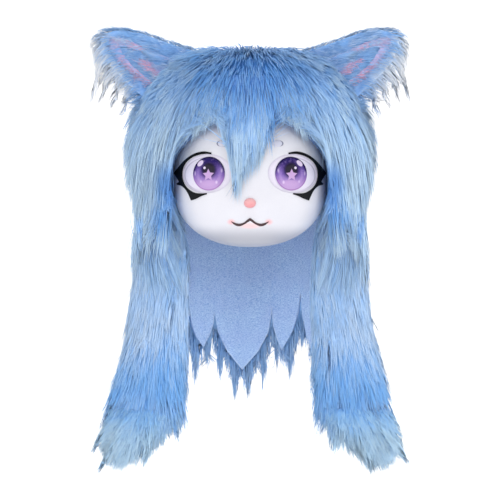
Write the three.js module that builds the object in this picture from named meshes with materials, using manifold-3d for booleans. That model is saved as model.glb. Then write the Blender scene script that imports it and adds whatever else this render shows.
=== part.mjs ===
// A cat-faced costume head: a padded hollow hood under long fur, a hard moulded face with set-in
// eyes, two furred ears, a fringe, two long hanging tails of fur and a nape curtain cut in petals.
// Millimetres, +Z up, the face looks along -Y. The origin is on the ceiling of the hood, where the
// wearer's crown meets it. Right and left are the wearer's own, so the right side is -X.
import * as THREE from "three";
import Module from "manifold-3d";

const wasm = await Module();
wasm.setup();

// The gap that is left between pieces that touch
const GAP = 0.3;

// Hard face: its widest line lies FACE_LEVEL below the ceiling of the hood
const FACE_WIDTH = 268;
const FACE_LEVEL = 165;
const FACE_RISE = 135;
const FACE_DROP = 111;
const FACE_DEPTH = 150;
const FACE_WALL = 3;
const FACE_SKIRT = 10;
const SIDE_RIM = 10;
const CHIN_RIM = 60;
const BROW_RIM = 50;
const OUTLINE_POWER = 2.2;
const FACE_ANGLES = 32;
const FACE_RINGS = 7;
const ROUGH_ANGLES = 18;
const ROUGH_RINGS = 5;

// Muzzle, a soft swelling of the face round the nose and the mouth
const MUZZLE_DROP = 52;
const MUZZLE_LIFT = 9;
const MUZZLE_SPREAD = 46;
const MUZZLE_HEIGHT = 34;

// Eyes, placed from the midline and from the widest line of the face
const EYE_OFFSET = 72;
const EYE_RISE = 12;
const EYE_WIDTH = 85;
const EYE_HEIGHT = 66;
const EYE_WALL = 2;
const EYE_LAP = 4;
const EYE_SEAT = 0.7;
const EYE_RECESS = 3;
const IRIS_WIDTH = 54;
const IRIS_HEIGHT = 57;
const IRIS_INWARD = 3;
const IRIS_EDGE = 1;
const IRIS_DOME = 3.5;
const LASH_THICKNESS = 1.5;
const EYE_SIDES = 20;

// Brow spots, nose and mouth
const BUTTON_SIDES = 12;
const BROW_OFFSET = 46;
const BROW_RISE = 62;
const BROW_WIDTH = 20;
const BROW_HEIGHT = 12;
const BROW_DOME = 1.5;
const NOSE_DROP = 38;
const NOSE_WIDTH = 20;
const NOSE_HEIGHT = 16;
const NOSE_DOME = 6;
const MOUTH_DROP = 69;
const MOUTH_WIDTH = 63;
const MOUTH_CURL = 4.5;
const MOUTH_GROOVE = 1.4;

// Hood: padded wall, thick over the crown and thinner round the sides
const HOOD_WALL = 12;
const CROWN_PAD = 55;
const HOOD_ROOM = 4;
const HOOD_DEPTH = 300;
const HOOD_SETBACK = 15;
const HOOD_LEVEL = 110;
const HOOD_BELLY = 260;
const HOOD_EDGE_DROP = 50;
const HOOD_SQUARENESS = 2.4;
const OPENING_RISE = 105;
const HOOD_ANGLES = 24;
const HOOD_RINGS = 11;

// Fur: the pile that lies on the hood, thin over the crown and the brow and thick round the
// cheeks and the back, and the long locks that grow out of it
const PILE = 14;
const SIDE_PILE = 48;
const FUR_SQUARENESS = 2.8;
const THIN_PILE_BEARING = 38;
const FULL_PILE_BEARING = 80;
const LOCK_LENGTH = 105;
const LOCK_WIDTH = 60;
const LOCK_THICKNESS = 26;
const LOCK_REACH = 26;

// Fringe over the forehead
const FRINGE_REACH = 110;
const FRINGE_LENGTH = 157;
const FRINGE_STRIP = 6;
const FRINGE_LIFT = 5;
const FRINGE_LOCK_WIDTH = 34;
const FRINGE_LOCK_THICKNESS = 9;

// Ears
const EAR_LENGTH = 151;
const EAR_WIDTH = 139;
const EAR_THICKNESS = 26;
const EAR_CUP = 16;
const EAR_TILT = 36;
const EAR_OUT = 130;
const EAR_UP = 15;
const INNER_EAR_WALL = 2;
const EAR_LOCK_LENGTH = 58;

// Hanging tails and their bushy tips
const TAIL_REACH = 155;
const TAIL_LENGTH = 338;
const TAIL_WIDTH = 128;
const TAIL_DEPTH = 50;
const TAIL_SETBACK = 25;
const TIP_LENGTH = 99;
const TIP_WIDTH = 138;
const TIP_DEPTH = 56;
const TAIL_LOCK_LENGTH = 56;
const TAIL_LOCK_WIDTH = 34;
const TAIL_SIDES = 10;

// Nape curtain: one layer of fur cloth, its fur on the outside
const CURTAIN_WALL = 2;
const CURTAIN_INSET = 6;
const CURTAIN_DROP = 286;
const NAPE_PILE = 13;
const NAPE_LOCK_LENGTH = 50;
const NAPE_LOCK_WIDTH = 26;

// Sizes that follow from those above
const faceZ = -FACE_LEVEL;
const hoodHalfWidth = FACE_WIDTH / 2 + HOOD_ROOM + HOOD_WALL;
const hoodHalfDepth = HOOD_DEPTH / 2;
const hoodRise = HOOD_LEVEL + CROWN_PAD;
const hoodEdge = faceZ - HOOD_EDGE_DROP;
const FAR = 1000;

// Strips round the eye, from the inner end of the upper lid to the inner end of the lower lid.
// out and up are shares of the eye opening's half width and half height, for the edge by the eye
// and for the free edge.
const LASH = [
  { out: -0.18, up: 0.98, freeOut: -0.18, freeUp: 1.05 },
  { out: 0.1, up: 1.02, freeOut: 0.09, freeUp: 1.1 },
  { out: 0.34, up: 0.97, freeOut: 0.37, freeUp: 1.08 },
  { out: 0.61, up: 0.84, freeOut: 0.65, freeUp: 0.96 },
  { out: 0.82, up: 0.64, freeOut: 0.92, freeUp: 0.76 },
  { out: 0.94, up: 0.41, freeOut: 1.14, freeUp: 0.46 },
  { out: 1.0, up: 0.15, freeOut: 1.34, freeUp: 0.13 },
  { out: 1.0, up: -0.12, freeOut: 1.2, freeUp: -0.2 },
  { out: 0.96, up: -0.31, freeOut: 1.09, freeUp: -0.37 },
  { out: 0.94, up: -0.4, freeOut: 1.18, freeUp: -0.42 },
  { out: 0.9, up: -0.5, freeOut: 1.03, freeUp: -0.54 },
  { out: 0.78, up: -0.7, freeOut: 0.88, freeUp: -0.73 },
  { out: 0.67, up: -0.83, freeOut: 0.74, freeUp: -0.97 },
  { out: 0.54, up: -0.95, freeOut: 0.6, freeUp: -1.31 },
  { out: 0.34, up: -1.0, freeOut: 0.38, freeUp: -1.24 },
  { out: 0.15, up: -1.02, freeOut: 0.18, freeUp: -1.13 },
  { out: 0.0, up: -1.03, freeOut: 0.0, freeUp: -1.08 },
];

// The line of the mouth from the midline outwards, as shares of its half width and of its curl
const MOUTH = [
  { out: 0, up: 1.15 },
  { out: 0.3, up: -0.5 },
  { out: 0.55, up: -1 },
  { out: 0.82, up: -0.65 },
  { out: 1, up: 0 },
];

// Cross-sections of an ear from root to tip, as shares of its length, width and thickness.
// upper and lower are the edges across it, from its axis.
const EAR = [
  { along: -0.34, upper: -0.3, lower: 0.36, thick: 1 },
  { along: 0, upper: -0.47, lower: 0.48, thick: 1 },
  { along: 0.22, upper: -0.38, lower: 0.42, thick: 0.9 },
  { along: 0.43, upper: -0.31, lower: 0.4, thick: 0.8 },
  { along: 0.66, upper: -0.24, lower: 0.36, thick: 0.7 },
  { along: 0.85, upper: -0.14, lower: 0.28, thick: 0.6 },
  { along: 0.96, upper: -0.03, lower: 0.18, thick: 0.45 },
  { along: 1, upper: 0.03, lower: 0.1, thick: 0.3 },
];
const EAR_LOCKS = [0.36, 0.52, 0.68, 0.83];
const INNER_EAR = [
  { along: 0.08, upper: -0.2, lower: 0.26 },
  { along: 0.24, upper: -0.24, lower: 0.28 },
  { along: 0.45, upper: -0.18, lower: 0.27 },
  { along: 0.64, upper: -0.12, lower: 0.24 },
  { along: 0.8, upper: -0.05, lower: 0.17 },
  { along: 0.88, upper: 0.02, lower: 0.1 },
];

// Rings of hood locks, from the crown down. polar is the height on the hood in degrees, from and
// to are the bearings from the front in degrees, and the rest are shares of the lock sizes.
const HOOD_LOCKS = [
  { polar: 30, from: 80, to: 280, count: 7, reach: 0.8, drop: 0.8, width: 1.1 },
  { polar: 8, from: 74, to: 286, count: 9, reach: 1, drop: 0.9, width: 1.1 },
  { polar: -10, from: 78, to: 282, count: 10, reach: 0.8, drop: 1, width: 1 },
];

// Fringe locks. root and tip are shares of the fringe's reach to one side, drop of its length.
const FRINGE = [
  { root: -0.25, tip: -0.22, drop: 0.55, width: 0.8 },
  { root: -0.1, tip: -0.22, drop: 1, width: 1 },
  { root: 0, tip: -0.1, drop: 0.84, width: 1 },
  { root: 0.12, tip: 0.05, drop: 0.74, width: 1 },
  { root: 0.25, tip: 0.18, drop: 0.6, width: 0.8 },
];
const FRINGE_SIDES = [
  { root: 0.54, tip: 0.66, drop: 0.23, width: 1 },
  { root: 0.85, tip: 1, drop: 0.44, width: 1.1 },
];
const FRINGE_BEARINGS = [-42, -25, -8, 8, 25, 42];
const FRINGE_POLARS = [36, 26, 16];
const FRINGE_ROOT = 19;

// Cross-sections of a tail and of its tip, as shares of their lengths, widths and depths.
// out is a share of the tail's reach from the midline.
const TAIL = [
  { down: 0, out: 1.01, width: 0.62, depth: 0.84 },
  { down: 0.16, out: 1, width: 0.74, depth: 1 },
  { down: 0.4, out: 1.01, width: 0.83, depth: 1 },
  { down: 0.63, out: 1.05, width: 0.86, depth: 1 },
  { down: 0.85, out: 1.13, width: 0.96, depth: 1 },
  { down: 1, out: 1.18, width: 1.02, depth: 0.8 },
];
const TIP = [
  { down: 0, out: 1.18, width: 0.92, depth: 0.7 },
  { down: 0.12, out: 1.17, width: 1.02, depth: 0.95 },
  { down: 0.34, out: 1.26, width: 0.9, depth: 1 },
  { down: 0.62, out: 1.39, width: 0.6, depth: 0.8 },
  { down: 0.93, out: 1.49, width: 0.2, depth: 0.4 },
];

// Petals of the curtain from the wearer's right to left. Bearings are in degrees from straight
// back, and notch and tip are shares of the curtain's drop.
const PETALS = [
  { from: -66, notch: 0.5, at: -62, tip: 0.7 },
  { from: -52, notch: 0.62, at: -38, tip: 0.85 },
  { from: -28, notch: 0.62, at: -6, tip: 1 },
  { from: 17, notch: 0.63, at: 25, tip: 0.87 },
  { from: 42, notch: 0.5, at: 56, tip: 0.9 },
];
const CURTAIN_END = { from: 66, notch: 0.5 };
const NAPE_LOCKS = [
  { up: 0, step: 10 },
  { up: 0.3, step: 33 },
];
const PETAL_STEPS = [0, 0.12, 0.45];
const CURTAIN_ROWS = 3;
const CORE_SIDES = 40;

// Thickness of a lock along its length, as shares of its width
const LOCK_SHAPE = [
  { along: 0, girth: 0.85 },
  { along: 0.5, girth: 1 },
];
const LOCK_SIDES = 3;

const point = (x, y, z) => new THREE.Vector3(x, y, z);
const radians = THREE.MathUtils.degToRad;
const signedPower = (value, power) => Math.sign(value) * Math.abs(value) ** power;

// A solid from rings of points, each a list of the same length or a single point at an end.
function solidFromRings(rings) {
  const vertices = [];
  const starts = rings.map((ring) => {
    const start = vertices.length;
    vertices.push(...ring);
    return start;
  });
  const sides = Math.max(...rings.map((ring) => ring.length));
  const triangles = [];
  for (let k = 0; k + 1 < rings.length; k++) {
    for (let i = 0; i < sides; i++) {
      const next = (i + 1) % sides;
      const [a, b] = [starts[k], starts[k + 1]];
      if (rings[k].length === 1) triangles.push([a, b + i, b + next]);
      else if (rings[k + 1].length === 1) triangles.push([a + i, b, a + next]);
      else triangles.push([a + i, b + i, b + next], [a + i, b + next, a + next]);
    }
  }
  return solidFromTriangles(vertices, triangles);
}

// The middle of a ring, as a ring of one point that closes the end.
function capOf(ring) {
  const middle = point(0, 0, 0);
  ring.forEach((p) => middle.addScaledVector(p, 1 / ring.length));
  return [middle];
}

// A closed solid from shared vertices, turned right side out if its volume is negative.
function solidFromTriangles(vertices, triangles) {
  const volume = triangles.reduce((sum, [a, b, c]) => {
    const normal = vertices[b].clone().cross(vertices[c]);
    return sum + vertices[a].dot(normal);
  }, 0);
  const facing = volume < 0 ? triangles.map(([a, b, c]) => [a, c, b]) : triangles;
  return new wasm.Manifold(
    new wasm.Mesh({
      numProp: 3,
      vertProperties: new Float32Array(vertices.flatMap((p) => p.toArray())),
      triVerts: new Uint32Array(facing.flat()),
    }),
  );
}

// A sheet between two grids of points, front[i][j] and back[i][j], closed round its edge.
function sheetSolid(front, back) {
  const [across, down] = [front.length, front[0].length];
  const vertices = [...front.flat(), ...back.flat()];
  const frontAt = (i, j) => i * down + j;
  const backAt = (i, j) => across * down + i * down + j;
  const triangles = [];
  const quad = (a, b, c, d) => triangles.push([a, b, c], [a, c, d]);
  for (let i = 0; i + 1 < across; i++) {
    for (let j = 0; j + 1 < down; j++) {
      quad(frontAt(i, j), frontAt(i, j + 1), frontAt(i + 1, j + 1), frontAt(i + 1, j));
      quad(backAt(i, j), backAt(i + 1, j), backAt(i + 1, j + 1), backAt(i, j + 1));
    }
    quad(frontAt(i, 0), frontAt(i + 1, 0), backAt(i + 1, 0), backAt(i, 0));
    const last = down - 1;
    quad(frontAt(i, last), backAt(i, last), backAt(i + 1, last), frontAt(i + 1, last));
  }
  for (let j = 0; j + 1 < down; j++) {
    quad(frontAt(0, j), backAt(0, j), backAt(0, j + 1), frontAt(0, j + 1));
    const end = across - 1;
    quad(frontAt(end, j), frontAt(end, j + 1), backAt(end, j + 1), backAt(end, j));
  }
  return solidFromTriangles(vertices, triangles);
}

// The joined solid of a list, and its largest body, without the crumbs that a cut can leave.
const joined = (solids) => solids.reduce((all, next) => all.add(next));
const largest = (solid) => {
  return solid.decompose().reduce((a, b) => (b.volume() > a.volume() ? b : a));
};

// A tapered curved lock of fur from root to tip that bends towards the point bend.
function lock({ root, bend, tip, across, width, thickness }) {
  const path = new THREE.QuadraticBezierCurve3(root, bend, tip);
  const rings = LOCK_SHAPE.map(({ along, girth }) => {
    const centre = path.getPoint(along);
    const tangent = path.getTangent(along);
    const side = across.clone().projectOnPlane(tangent).normalize();
    const out = tangent.clone().cross(side);
    return Array.from({ length: LOCK_SIDES }, (_, i) => {
      const turn = Math.PI * ((2 * i) / LOCK_SIDES - 0.5);
      return centre
        .clone()
        .addScaledVector(side, (Math.cos(turn) * width * girth) / 2)
        .addScaledVector(out, (Math.sin(turn) * thickness * girth) / 2);
    });
  });
  return solidFromRings([capOf(rings[0]), ...rings, [tip]]);
}

// An upright oval prism that runs along Y.
function ovalPrism(x, z, halfWidth, halfHeight, front, back, sides) {
  const ring = (y) => {
    return Array.from({ length: sides }, (_, i) => {
      const turn = (2 * Math.PI * i) / sides;
      return point(x + halfWidth * Math.cos(turn), y, z + halfHeight * Math.sin(turn));
    });
  };
  const [near, far] = [ring(front), ring(back)];
  return solidFromRings([capOf(near), near, far, capOf(far)]);
}

function block(low, high) {
  const corner = (y) => [
    point(low.x, y, low.z),
    point(high.x, y, low.z),
    point(high.x, y, high.z),
    point(low.x, y, high.z),
  ];
  const [near, far] = [corner(low.y), corner(high.y)];
  return solidFromRings([capOf(near), near, far, capOf(far)]);
}

// How far in front of the ear-to-ear plane the face's rim lies, by its turn round the outline.
function rimAt(turn) {
  const upward = Math.sin(turn);
  const end = upward > 0 ? BROW_RIM : CHIN_RIM;
  return -(SIDE_RIM + (end - SIDE_RIM) * upward * upward);
}

function muzzleAt(x, z) {
  const across = x / MUZZLE_SPREAD;
  const up = (z - faceZ + MUZZLE_DROP) / MUZZLE_HEIGHT;
  return MUZZLE_LIFT * Math.exp(-(across * across) - up * up);
}

// The face's surface, inset by that much: a point at a turn round it and a share of the way out.
function facePoint(turn, share, inset) {
  const upward = Math.sin(turn);
  const half = (upward > 0 ? FACE_RISE : FACE_DROP) - inset;
  const x = share * (FACE_WIDTH / 2 - inset) * signedPower(Math.cos(turn), 2 / OUTLINE_POWER);
  const z = faceZ + share * half * signedPower(upward, 2 / OUTLINE_POWER);
  return point(x, faceDepth(x, z, inset), z);
}

// The same surface as a depth: the Y of its front at X and Z.
function faceDepth(x, z, inset = 0) {
  const across = Math.abs(x) / (FACE_WIDTH / 2 - inset);
  const half = (z > faceZ ? FACE_RISE : FACE_DROP) - inset;
  const up = (z - faceZ) / half;
  const share = Math.min(1, across ** OUTLINE_POWER + Math.abs(up) ** OUTLINE_POWER);
  const turn = Math.atan2(
    signedPower(up, OUTLINE_POWER / 2),
    across ** (OUTLINE_POWER / 2),
  );
  const rim = rimAt(turn);
  const bulge = (1 - share) ** (1 / OUTLINE_POWER);
  return rim - (FACE_DEPTH - inset + rim) * bulge - muzzleAt(x, z);
}

// A point lifted off the face along its normal.
function onFace(x, z, lift) {
  const step = 0.5;
  const slopeX = (faceDepth(x + step, z) - faceDepth(x - step, z)) / (2 * step);
  const slopeZ = (faceDepth(x, z + step) - faceDepth(x, z - step)) / (2 * step);
  const normal = point(slopeX, -1, slopeZ).normalize();
  return point(x, faceDepth(x, z), z).addScaledVector(normal, lift);
}

// The face filled in to its rim, then back by a skirt. A larger inset makes a smaller body.
function faceBody(inset, skirt, angles = FACE_ANGLES, steps = FACE_RINGS) {
  const ring = (share) => {
    return Array.from({ length: angles }, (_, i) => {
      return facePoint((2 * Math.PI * i) / angles, share, inset);
    });
  };
  const rings = [[facePoint(0, 0, inset)]];
  for (let k = 1; k <= steps; k++) rings.push(ring(Math.sin((Math.PI / 2) * (k / steps))));
  const back = ring(1).map((p) => p.setY(p.y + skirt));
  rings.push(back, capOf(back));
  return solidFromRings(rings);
}

// The groove of the mouth, as a thin round bar along the face's surface.
function mouthBar() {
  const spot = ({ out, up }, side) => {
    const x = (side * out * MOUTH_WIDTH) / 2;
    const z = faceZ - MOUTH_DROP + up * MOUTH_CURL;
    return point(x, faceDepth(x, z), z);
  };
  const right = MOUTH.slice(1).reverse();
  const line = [...right.map((row) => spot(row, -1)), ...MOUTH.map((row) => spot(row, 1))];
  const sides = 4;
  const rings = line.map((centre) => {
    return Array.from({ length: sides }, (_, i) => {
      const turn = (2 * Math.PI * i) / sides;
      const lift = point(0, Math.cos(turn), Math.sin(turn));
      return centre.clone().addScaledVector(lift, MOUTH_GROOVE);
    });
  });
  return solidFromRings([[line[0]], ...rings.slice(1, -1), [line.at(-1)]]);
}

const eyeCentre = (side) => point(side * EYE_OFFSET, 0, faceZ + EYE_RISE);

function eyeHole(side) {
  const at = eyeCentre(side);
  return ovalPrism(at.x, at.z, EYE_WIDTH / 2, EYE_HEIGHT / 2, -FAR, 0, EYE_SIDES);
}

function faceShell() {
  return joined([faceBody(0, FACE_SKIRT)])
    .subtract(faceBody(FACE_WALL, FACE_SKIRT + 1))
    .subtract(eyeHole(-1))
    .subtract(eyeHole(1))
    .subtract(mouthBar());
}

// A round patch that follows a surface: an oval of rings whose depth is given by depthAt.
function ovalRing(centre, halfWidth, halfHeight, share, depthAt, sides) {
  return Array.from({ length: sides }, (_, i) => {
    const turn = (2 * Math.PI * i) / sides;
    const x = centre.x + share * halfWidth * Math.cos(turn);
    const z = centre.z + share * halfHeight * Math.sin(turn);
    return point(x, depthAt(x, z, share), z);
  });
}

const EYE_RINGS = [0.5, 1];

// The white of an eye: a shallow cup behind the opening, with its rim against the shell.
function eyeWhite(side) {
  const centre = eyeCentre(side);
  const [halfWidth, halfHeight] = [EYE_WIDTH / 2 + 1, EYE_HEIGHT / 2 + 1];
  const lap = EYE_LAP - 1;
  const behind = (x, z, back) => faceDepth(x, z, FACE_WALL + EYE_SEAT + back);
  const ring = (share, back, grow = 0) => {
    const depthAt = (x, z) => behind(x, z, back);
    return ovalRing(centre, halfWidth + grow, halfHeight + grow, share, depthAt, EYE_SIDES);
  };
  const floorBack = EYE_RECESS + EYE_WALL;
  const front = EYE_RINGS.map((share) => ring(share, EYE_RECESS));
  return solidFromRings([
    [point(centre.x, behind(centre.x, centre.z, EYE_RECESS), centre.z)],
    ...front,
    ring(1, 0),
    ring(1, 0, lap),
    ring(1, floorBack, lap),
    [point(centre.x, behind(centre.x, centre.z, floorBack), centre.z)],
  ]).intersect(faceBody(FACE_WALL + GAP, FACE_SKIRT));
}

// A domed disc that lies on the white of the eye.
function iris(side) {
  const centre = eyeCentre(side).setX(side * (EYE_OFFSET - IRIS_INWARD));
  const floor = FACE_WALL + EYE_SEAT + EYE_RECESS - 2 * GAP;
  const ring = (share, lift) => {
    const depthAt = (x, z) => faceDepth(x, z, floor - lift);
    return ovalRing(centre, IRIS_WIDTH / 2, IRIS_HEIGHT / 2, share, depthAt, EYE_SIDES);
  };
  const height = (share) => IRIS_EDGE + IRIS_DOME * (1 - share * share);
  const front = EYE_RINGS.map((share) => ring(share, height(share)));
  const back = EYE_RINGS.map((share) => ring(share, 0)).reverse();
  return solidFromRings([
    [point(centre.x, faceDepth(centre.x, centre.z, floor - height(0)), centre.z)],
    ...front,
    ...back,
    [point(centre.x, faceDepth(centre.x, centre.z, floor), centre.z)],
  ]);
}

function lash(side) {
  const centre = eyeCentre(side);
  const spot = (out, up, lift) => {
    const x = centre.x + (side * out * EYE_WIDTH) / 2;
    return onFace(x, centre.z + (up * EYE_HEIGHT) / 2, lift);
  };
  const rings = LASH.map(({ out, up, freeOut, freeUp }) => [
    spot(out, up, GAP),
    spot(freeOut, freeUp, GAP),
    spot(freeOut, freeUp, GAP + LASH_THICKNESS),
    spot(out, up, GAP + LASH_THICKNESS),
  ]);
  const strip = solidFromRings([capOf(rings[0]), ...rings, capOf(rings.at(-1))]);
  return largest(strip.subtract(faceSolidClear));
}

// A low dome on the face, such as the nose or a brow spot.
function button(x, z, width, height, dome) {
  const centre = point(x, 0, z);
  const ring = (share, lift) => {
    return ovalRing(centre, width / 2, height / 2, share, () => 0, BUTTON_SIDES).map((p) => {
      return onFace(p.x, p.z, lift);
    });
  };
  const rise = (share) => GAP + dome * Math.sqrt(1 - share * share);
  return solidFromRings([
    [onFace(x, z, rise(0))],
    ...[0.6, 0.9].map((share) => ring(share, rise(share))),
    ring(1, GAP + dome / 8),
    ring(1, GAP),
    [onFace(x, z, GAP)],
  ]);
}

// A point of the hood's outside, grown outwards, by bearing from the front and height angle.
function hoodPoint(bearing, polar, grow, squareness = HOOD_SQUARENESS) {
  const level = signedPower(Math.cos(polar), 2 / squareness);
  const rise = polar > 0 ? hoodRise + grow : HOOD_BELLY + grow;
  return point(
    -(hoodHalfWidth + grow) * Math.sin(bearing) * level,
    HOOD_SETBACK - (hoodHalfDepth + grow) * Math.cos(bearing) * level,
    -HOOD_LEVEL + rise * signedPower(Math.sin(polar), 2 / squareness),
  );
}

// The same for the pile on it, which has squarer shoulders, grown outwards by lift.
function furPoint(bearing, polar, lift) {
  const { smoothstep } = THREE.MathUtils;
  const turned = Math.abs(THREE.MathUtils.euclideanModulo(bearing + Math.PI, 2 * Math.PI) - Math.PI);
  const sideways = smoothstep(turned, radians(THIN_PILE_BEARING), radians(FULL_PILE_BEARING));
  const low = 1 - smoothstep(polar, 0, Math.PI / 2);
  const grow = PILE + (SIDE_PILE - PILE) * sideways * low + lift;
  return hoodPoint(bearing, polar, grow, FUR_SQUARENESS);
}

// An egg from rings round the hood's middle, with a pole at the top and one at the bottom.
function eggFrom(pointAt) {
  const rings = Array.from({ length: HOOD_RINGS - 1 }, (_, k) => {
    const polar = Math.PI * (0.5 - (k + 1) / HOOD_RINGS);
    return Array.from({ length: HOOD_ANGLES }, (_, i) => {
      return pointAt((2 * Math.PI * i) / HOOD_ANGLES, polar);
    });
  });
  return solidFromRings([[pointAt(0, Math.PI / 2)], ...rings, [pointAt(0, -Math.PI / 2)]]);
}

const hoodEgg = (grow) => eggFrom((bearing, polar) => hoodPoint(bearing, polar, grow));
const furEgg = (lift) => eggFrom((bearing, polar) => furPoint(bearing, polar, lift));

// The hollow for the wearer's head, with its ceiling at the origin.
function hollow() {
  const half = { x: hoodHalfWidth - HOOD_WALL, y: hoodHalfDepth - HOOD_WALL };
  const rings = [[point(0, HOOD_SETBACK, 0)]];
  const steps = 9;
  for (let k = 1; k <= steps; k++) {
    const polar = (Math.PI / 2) * (1 - k / steps);
    const level = Math.cos(polar) ** (2 / HOOD_SQUARENESS);
    const z = -HOOD_LEVEL + HOOD_LEVEL * Math.sin(polar) ** (2 / HOOD_SQUARENESS);
    rings.push(hollowRing(half.x * level, half.y * level, z));
  }
  for (const z of [hoodEdge + HOOD_EDGE_DROP, hoodEdge, hoodEdge - FACE_DROP]) {
    const edge = hoodSection(z);
    rings.push(hollowRing(edge.x - HOOD_WALL, edge.y - HOOD_WALL, z));
  }
  return solidFromRings([...rings, capOf(rings.at(-1))]);
}

function hollowRing(halfWidth, halfDepth, z) {
  return Array.from({ length: HOOD_ANGLES }, (_, i) => {
    const bearing = (2 * Math.PI * i) / HOOD_ANGLES;
    const x = -halfWidth * Math.sin(bearing);
    return point(x, HOOD_SETBACK - halfDepth * Math.cos(bearing), z);
  });
}

// The hood's half width and half depth at a level below its widest line.
function hoodSection(z) {
  const down = (-HOOD_LEVEL - z) / HOOD_BELLY;
  const share = (1 - down ** HOOD_SQUARENESS) ** (1 / HOOD_SQUARENESS);
  return { x: hoodHalfWidth * share, y: hoodHalfDepth * share };
}

// What the hood and its fur leave out: the window for the face, and all below the lower edge.
function hoodWindow(margin) {
  const [halfWidth, rise] = [FACE_WIDTH / 2 + margin, OPENING_RISE + margin];
  const arch = ovalPrism(0, faceZ, halfWidth, rise, -FAR, -SIDE_RIM + FACE_SKIRT, 32);
  const low = point(-halfWidth, -FAR, faceZ - FACE_DROP);
  const high = point(halfWidth, -SIDE_RIM + FACE_SKIRT, faceZ);
  return arch.add(block(low, high));
}

function belowEdge(edge) {
  return block(point(-FAR, -FAR, -FAR), point(FAR, FAR, edge));
}

function hood() {
  return largest(
    hoodEgg(0)
      .subtract(hollow())
      .subtract(hoodWindow(GAP))
      .subtract(belowEdge(hoodEdge))
      .subtract(faceSolidClear),
  );
}

// An ear's cross-sections, grown all round, from the root inside the hood to the tip.
const earRoot = (side) => point(side * EAR_OUT, 0, EAR_UP);
const earAxis = (side) => {
  const tilt = radians(EAR_TILT);
  return point(side * Math.cos(tilt), 0, Math.sin(tilt));
};
const earAcross = (side) => {
  const tilt = radians(EAR_TILT);
  return point(side * Math.sin(tilt), 0, -Math.cos(tilt));
};

function earSpot(side, along, across, depth) {
  return earRoot(side)
    .addScaledVector(earAxis(side), along)
    .addScaledVector(earAcross(side), across)
    .setY(depth);
}

// How deep the hollow front of an ear is where it is this thick. It runs out at the tip.
const earCup = (thick) => (EAR_CUP * (thick - EAR.at(-1).thick)) / (1 - EAR.at(-1).thick);

// The Y of the hollow front of an ear, at a share from -1 to 1 of the way across it.
const earFront = (thick, share) => {
  return (-EAR_THICKNESS * thick) / 2 + earCup(thick) * (1 - share * share);
};

function earBody(side, grow) {
  const shares = [-1, -0.6, 0, 0.6, 1];
  const rings = EAR.map(({ along, upper, lower, thick }) => {
    const [middle, half] = [(upper + lower) / 2, (lower - upper) / 2];
    const at = (share, depth) => {
      const across = (middle + half * share) * EAR_WIDTH + Math.sign(share) * grow;
      return earSpot(side, along * EAR_LENGTH, across, depth);
    };
    const edge = (EAR_THICKNESS * thick) / 2;
    const bulge = (earCup(thick) + edge) * 0.8;
    const back = (share) => edge + bulge * (1 - share * share) + grow;
    return [
      ...shares.map((share) => at(share, earFront(thick, share) - grow)),
      ...shares.toReversed().map((share) => at(share, back(share))),
    ];
  });
  return solidFromRings([capOf(rings[0]), ...rings, capOf(rings.at(-1))]);
}

// Long wisps that hang from the lower edge and from the tip of an ear.
function earLocks(side) {
  return EAR_LOCKS.map((along) => {
    const { lower } = earRowAt(along);
    const root = earSpot(side, along * EAR_LENGTH, (lower - 0.1) * EAR_WIDTH, EAR_CUP / 2);
    return lock({
      root,
      bend: root.clone().add(point(side * EAR_LOCK_LENGTH * 0.35, 0, -EAR_LOCK_LENGTH * 0.35)),
      tip: root.clone().add(point(side * EAR_LOCK_LENGTH * 0.38, 0, -EAR_LOCK_LENGTH)),
      across: point(side, 0, 0),
      width: EAR_LOCK_LENGTH * 0.42,
      thickness: EAR_THICKNESS * 0.4,
    });
  });
}

function ear(side) {
  return largest(joined([earBody(side, 0), ...earLocks(side)]).subtract(hoodEgg(GAP)));
}

function innerEar(side) {
  const shares = [-1, -0.5, 0, 0.5, 1];
  const grid = (lift) => {
    return INNER_EAR.map((row) => {
      const outer = earRowAt(row.along);
      const [middle, half] = [(outer.upper + outer.lower) / 2, (outer.lower - outer.upper) / 2];
      return shares.map((share) => {
        const across = (row.upper + row.lower) / 2 + ((row.lower - row.upper) / 2) * share;
        const depth = earFront(outer.thick, (across - middle) / half) - lift;
        return earSpot(side, row.along * EAR_LENGTH, across * EAR_WIDTH, depth);
      });
    });
  };
  const away = 2 * GAP;
  return largest(
    sheetSolid(grid(away + INNER_EAR_WALL), grid(away))
      .subtract(joined([earBody(side, GAP), ...earLocks(side)]))
      .subtract(furEgg(GAP)),
  );
}

// The ear's own section at a share of its length, between the rows of the table.
function earRowAt(along) {
  const k = Math.max(1, EAR.findIndex((row) => row.along >= along));
  const [a, b] = [EAR[k - 1], EAR[k]];
  const t = (along - a.along) / (b.along - a.along);
  const mix = (name) => THREE.MathUtils.lerp(a[name], b[name], t);
  return { upper: mix("upper"), lower: mix("lower"), thick: mix("thick") };
}

// The locks that hang round the sides and the back of the hood.
function hoodLocks() {
  return HOOD_LOCKS.flatMap(({ polar, from, to, count, reach, drop, width }) => {
    return Array.from({ length: count }, (_, i) => {
      const bearing = radians(from + ((to - from) * i) / (count - 1));
      const root = furPoint(bearing, radians(polar), -LOCK_THICKNESS / 2);
      const outward = point(-Math.sin(bearing), -Math.cos(bearing), 0);
      const uneven = 1 + 0.12 * Math.cos(count * bearing);
      const bend = root.clone().addScaledVector(outward, LOCK_REACH * reach);
      const tip = root
        .clone()
        .addScaledVector(outward, LOCK_REACH * reach * 0.75)
        .add(point(0, 0, -LOCK_LENGTH * drop * uneven));
      return lock({
        root,
        bend,
        tip,
        across: point(outward.y, -outward.x, 0),
        width: LOCK_WIDTH * width,
        thickness: LOCK_THICKNESS,
      });
    });
  });
}

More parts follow.
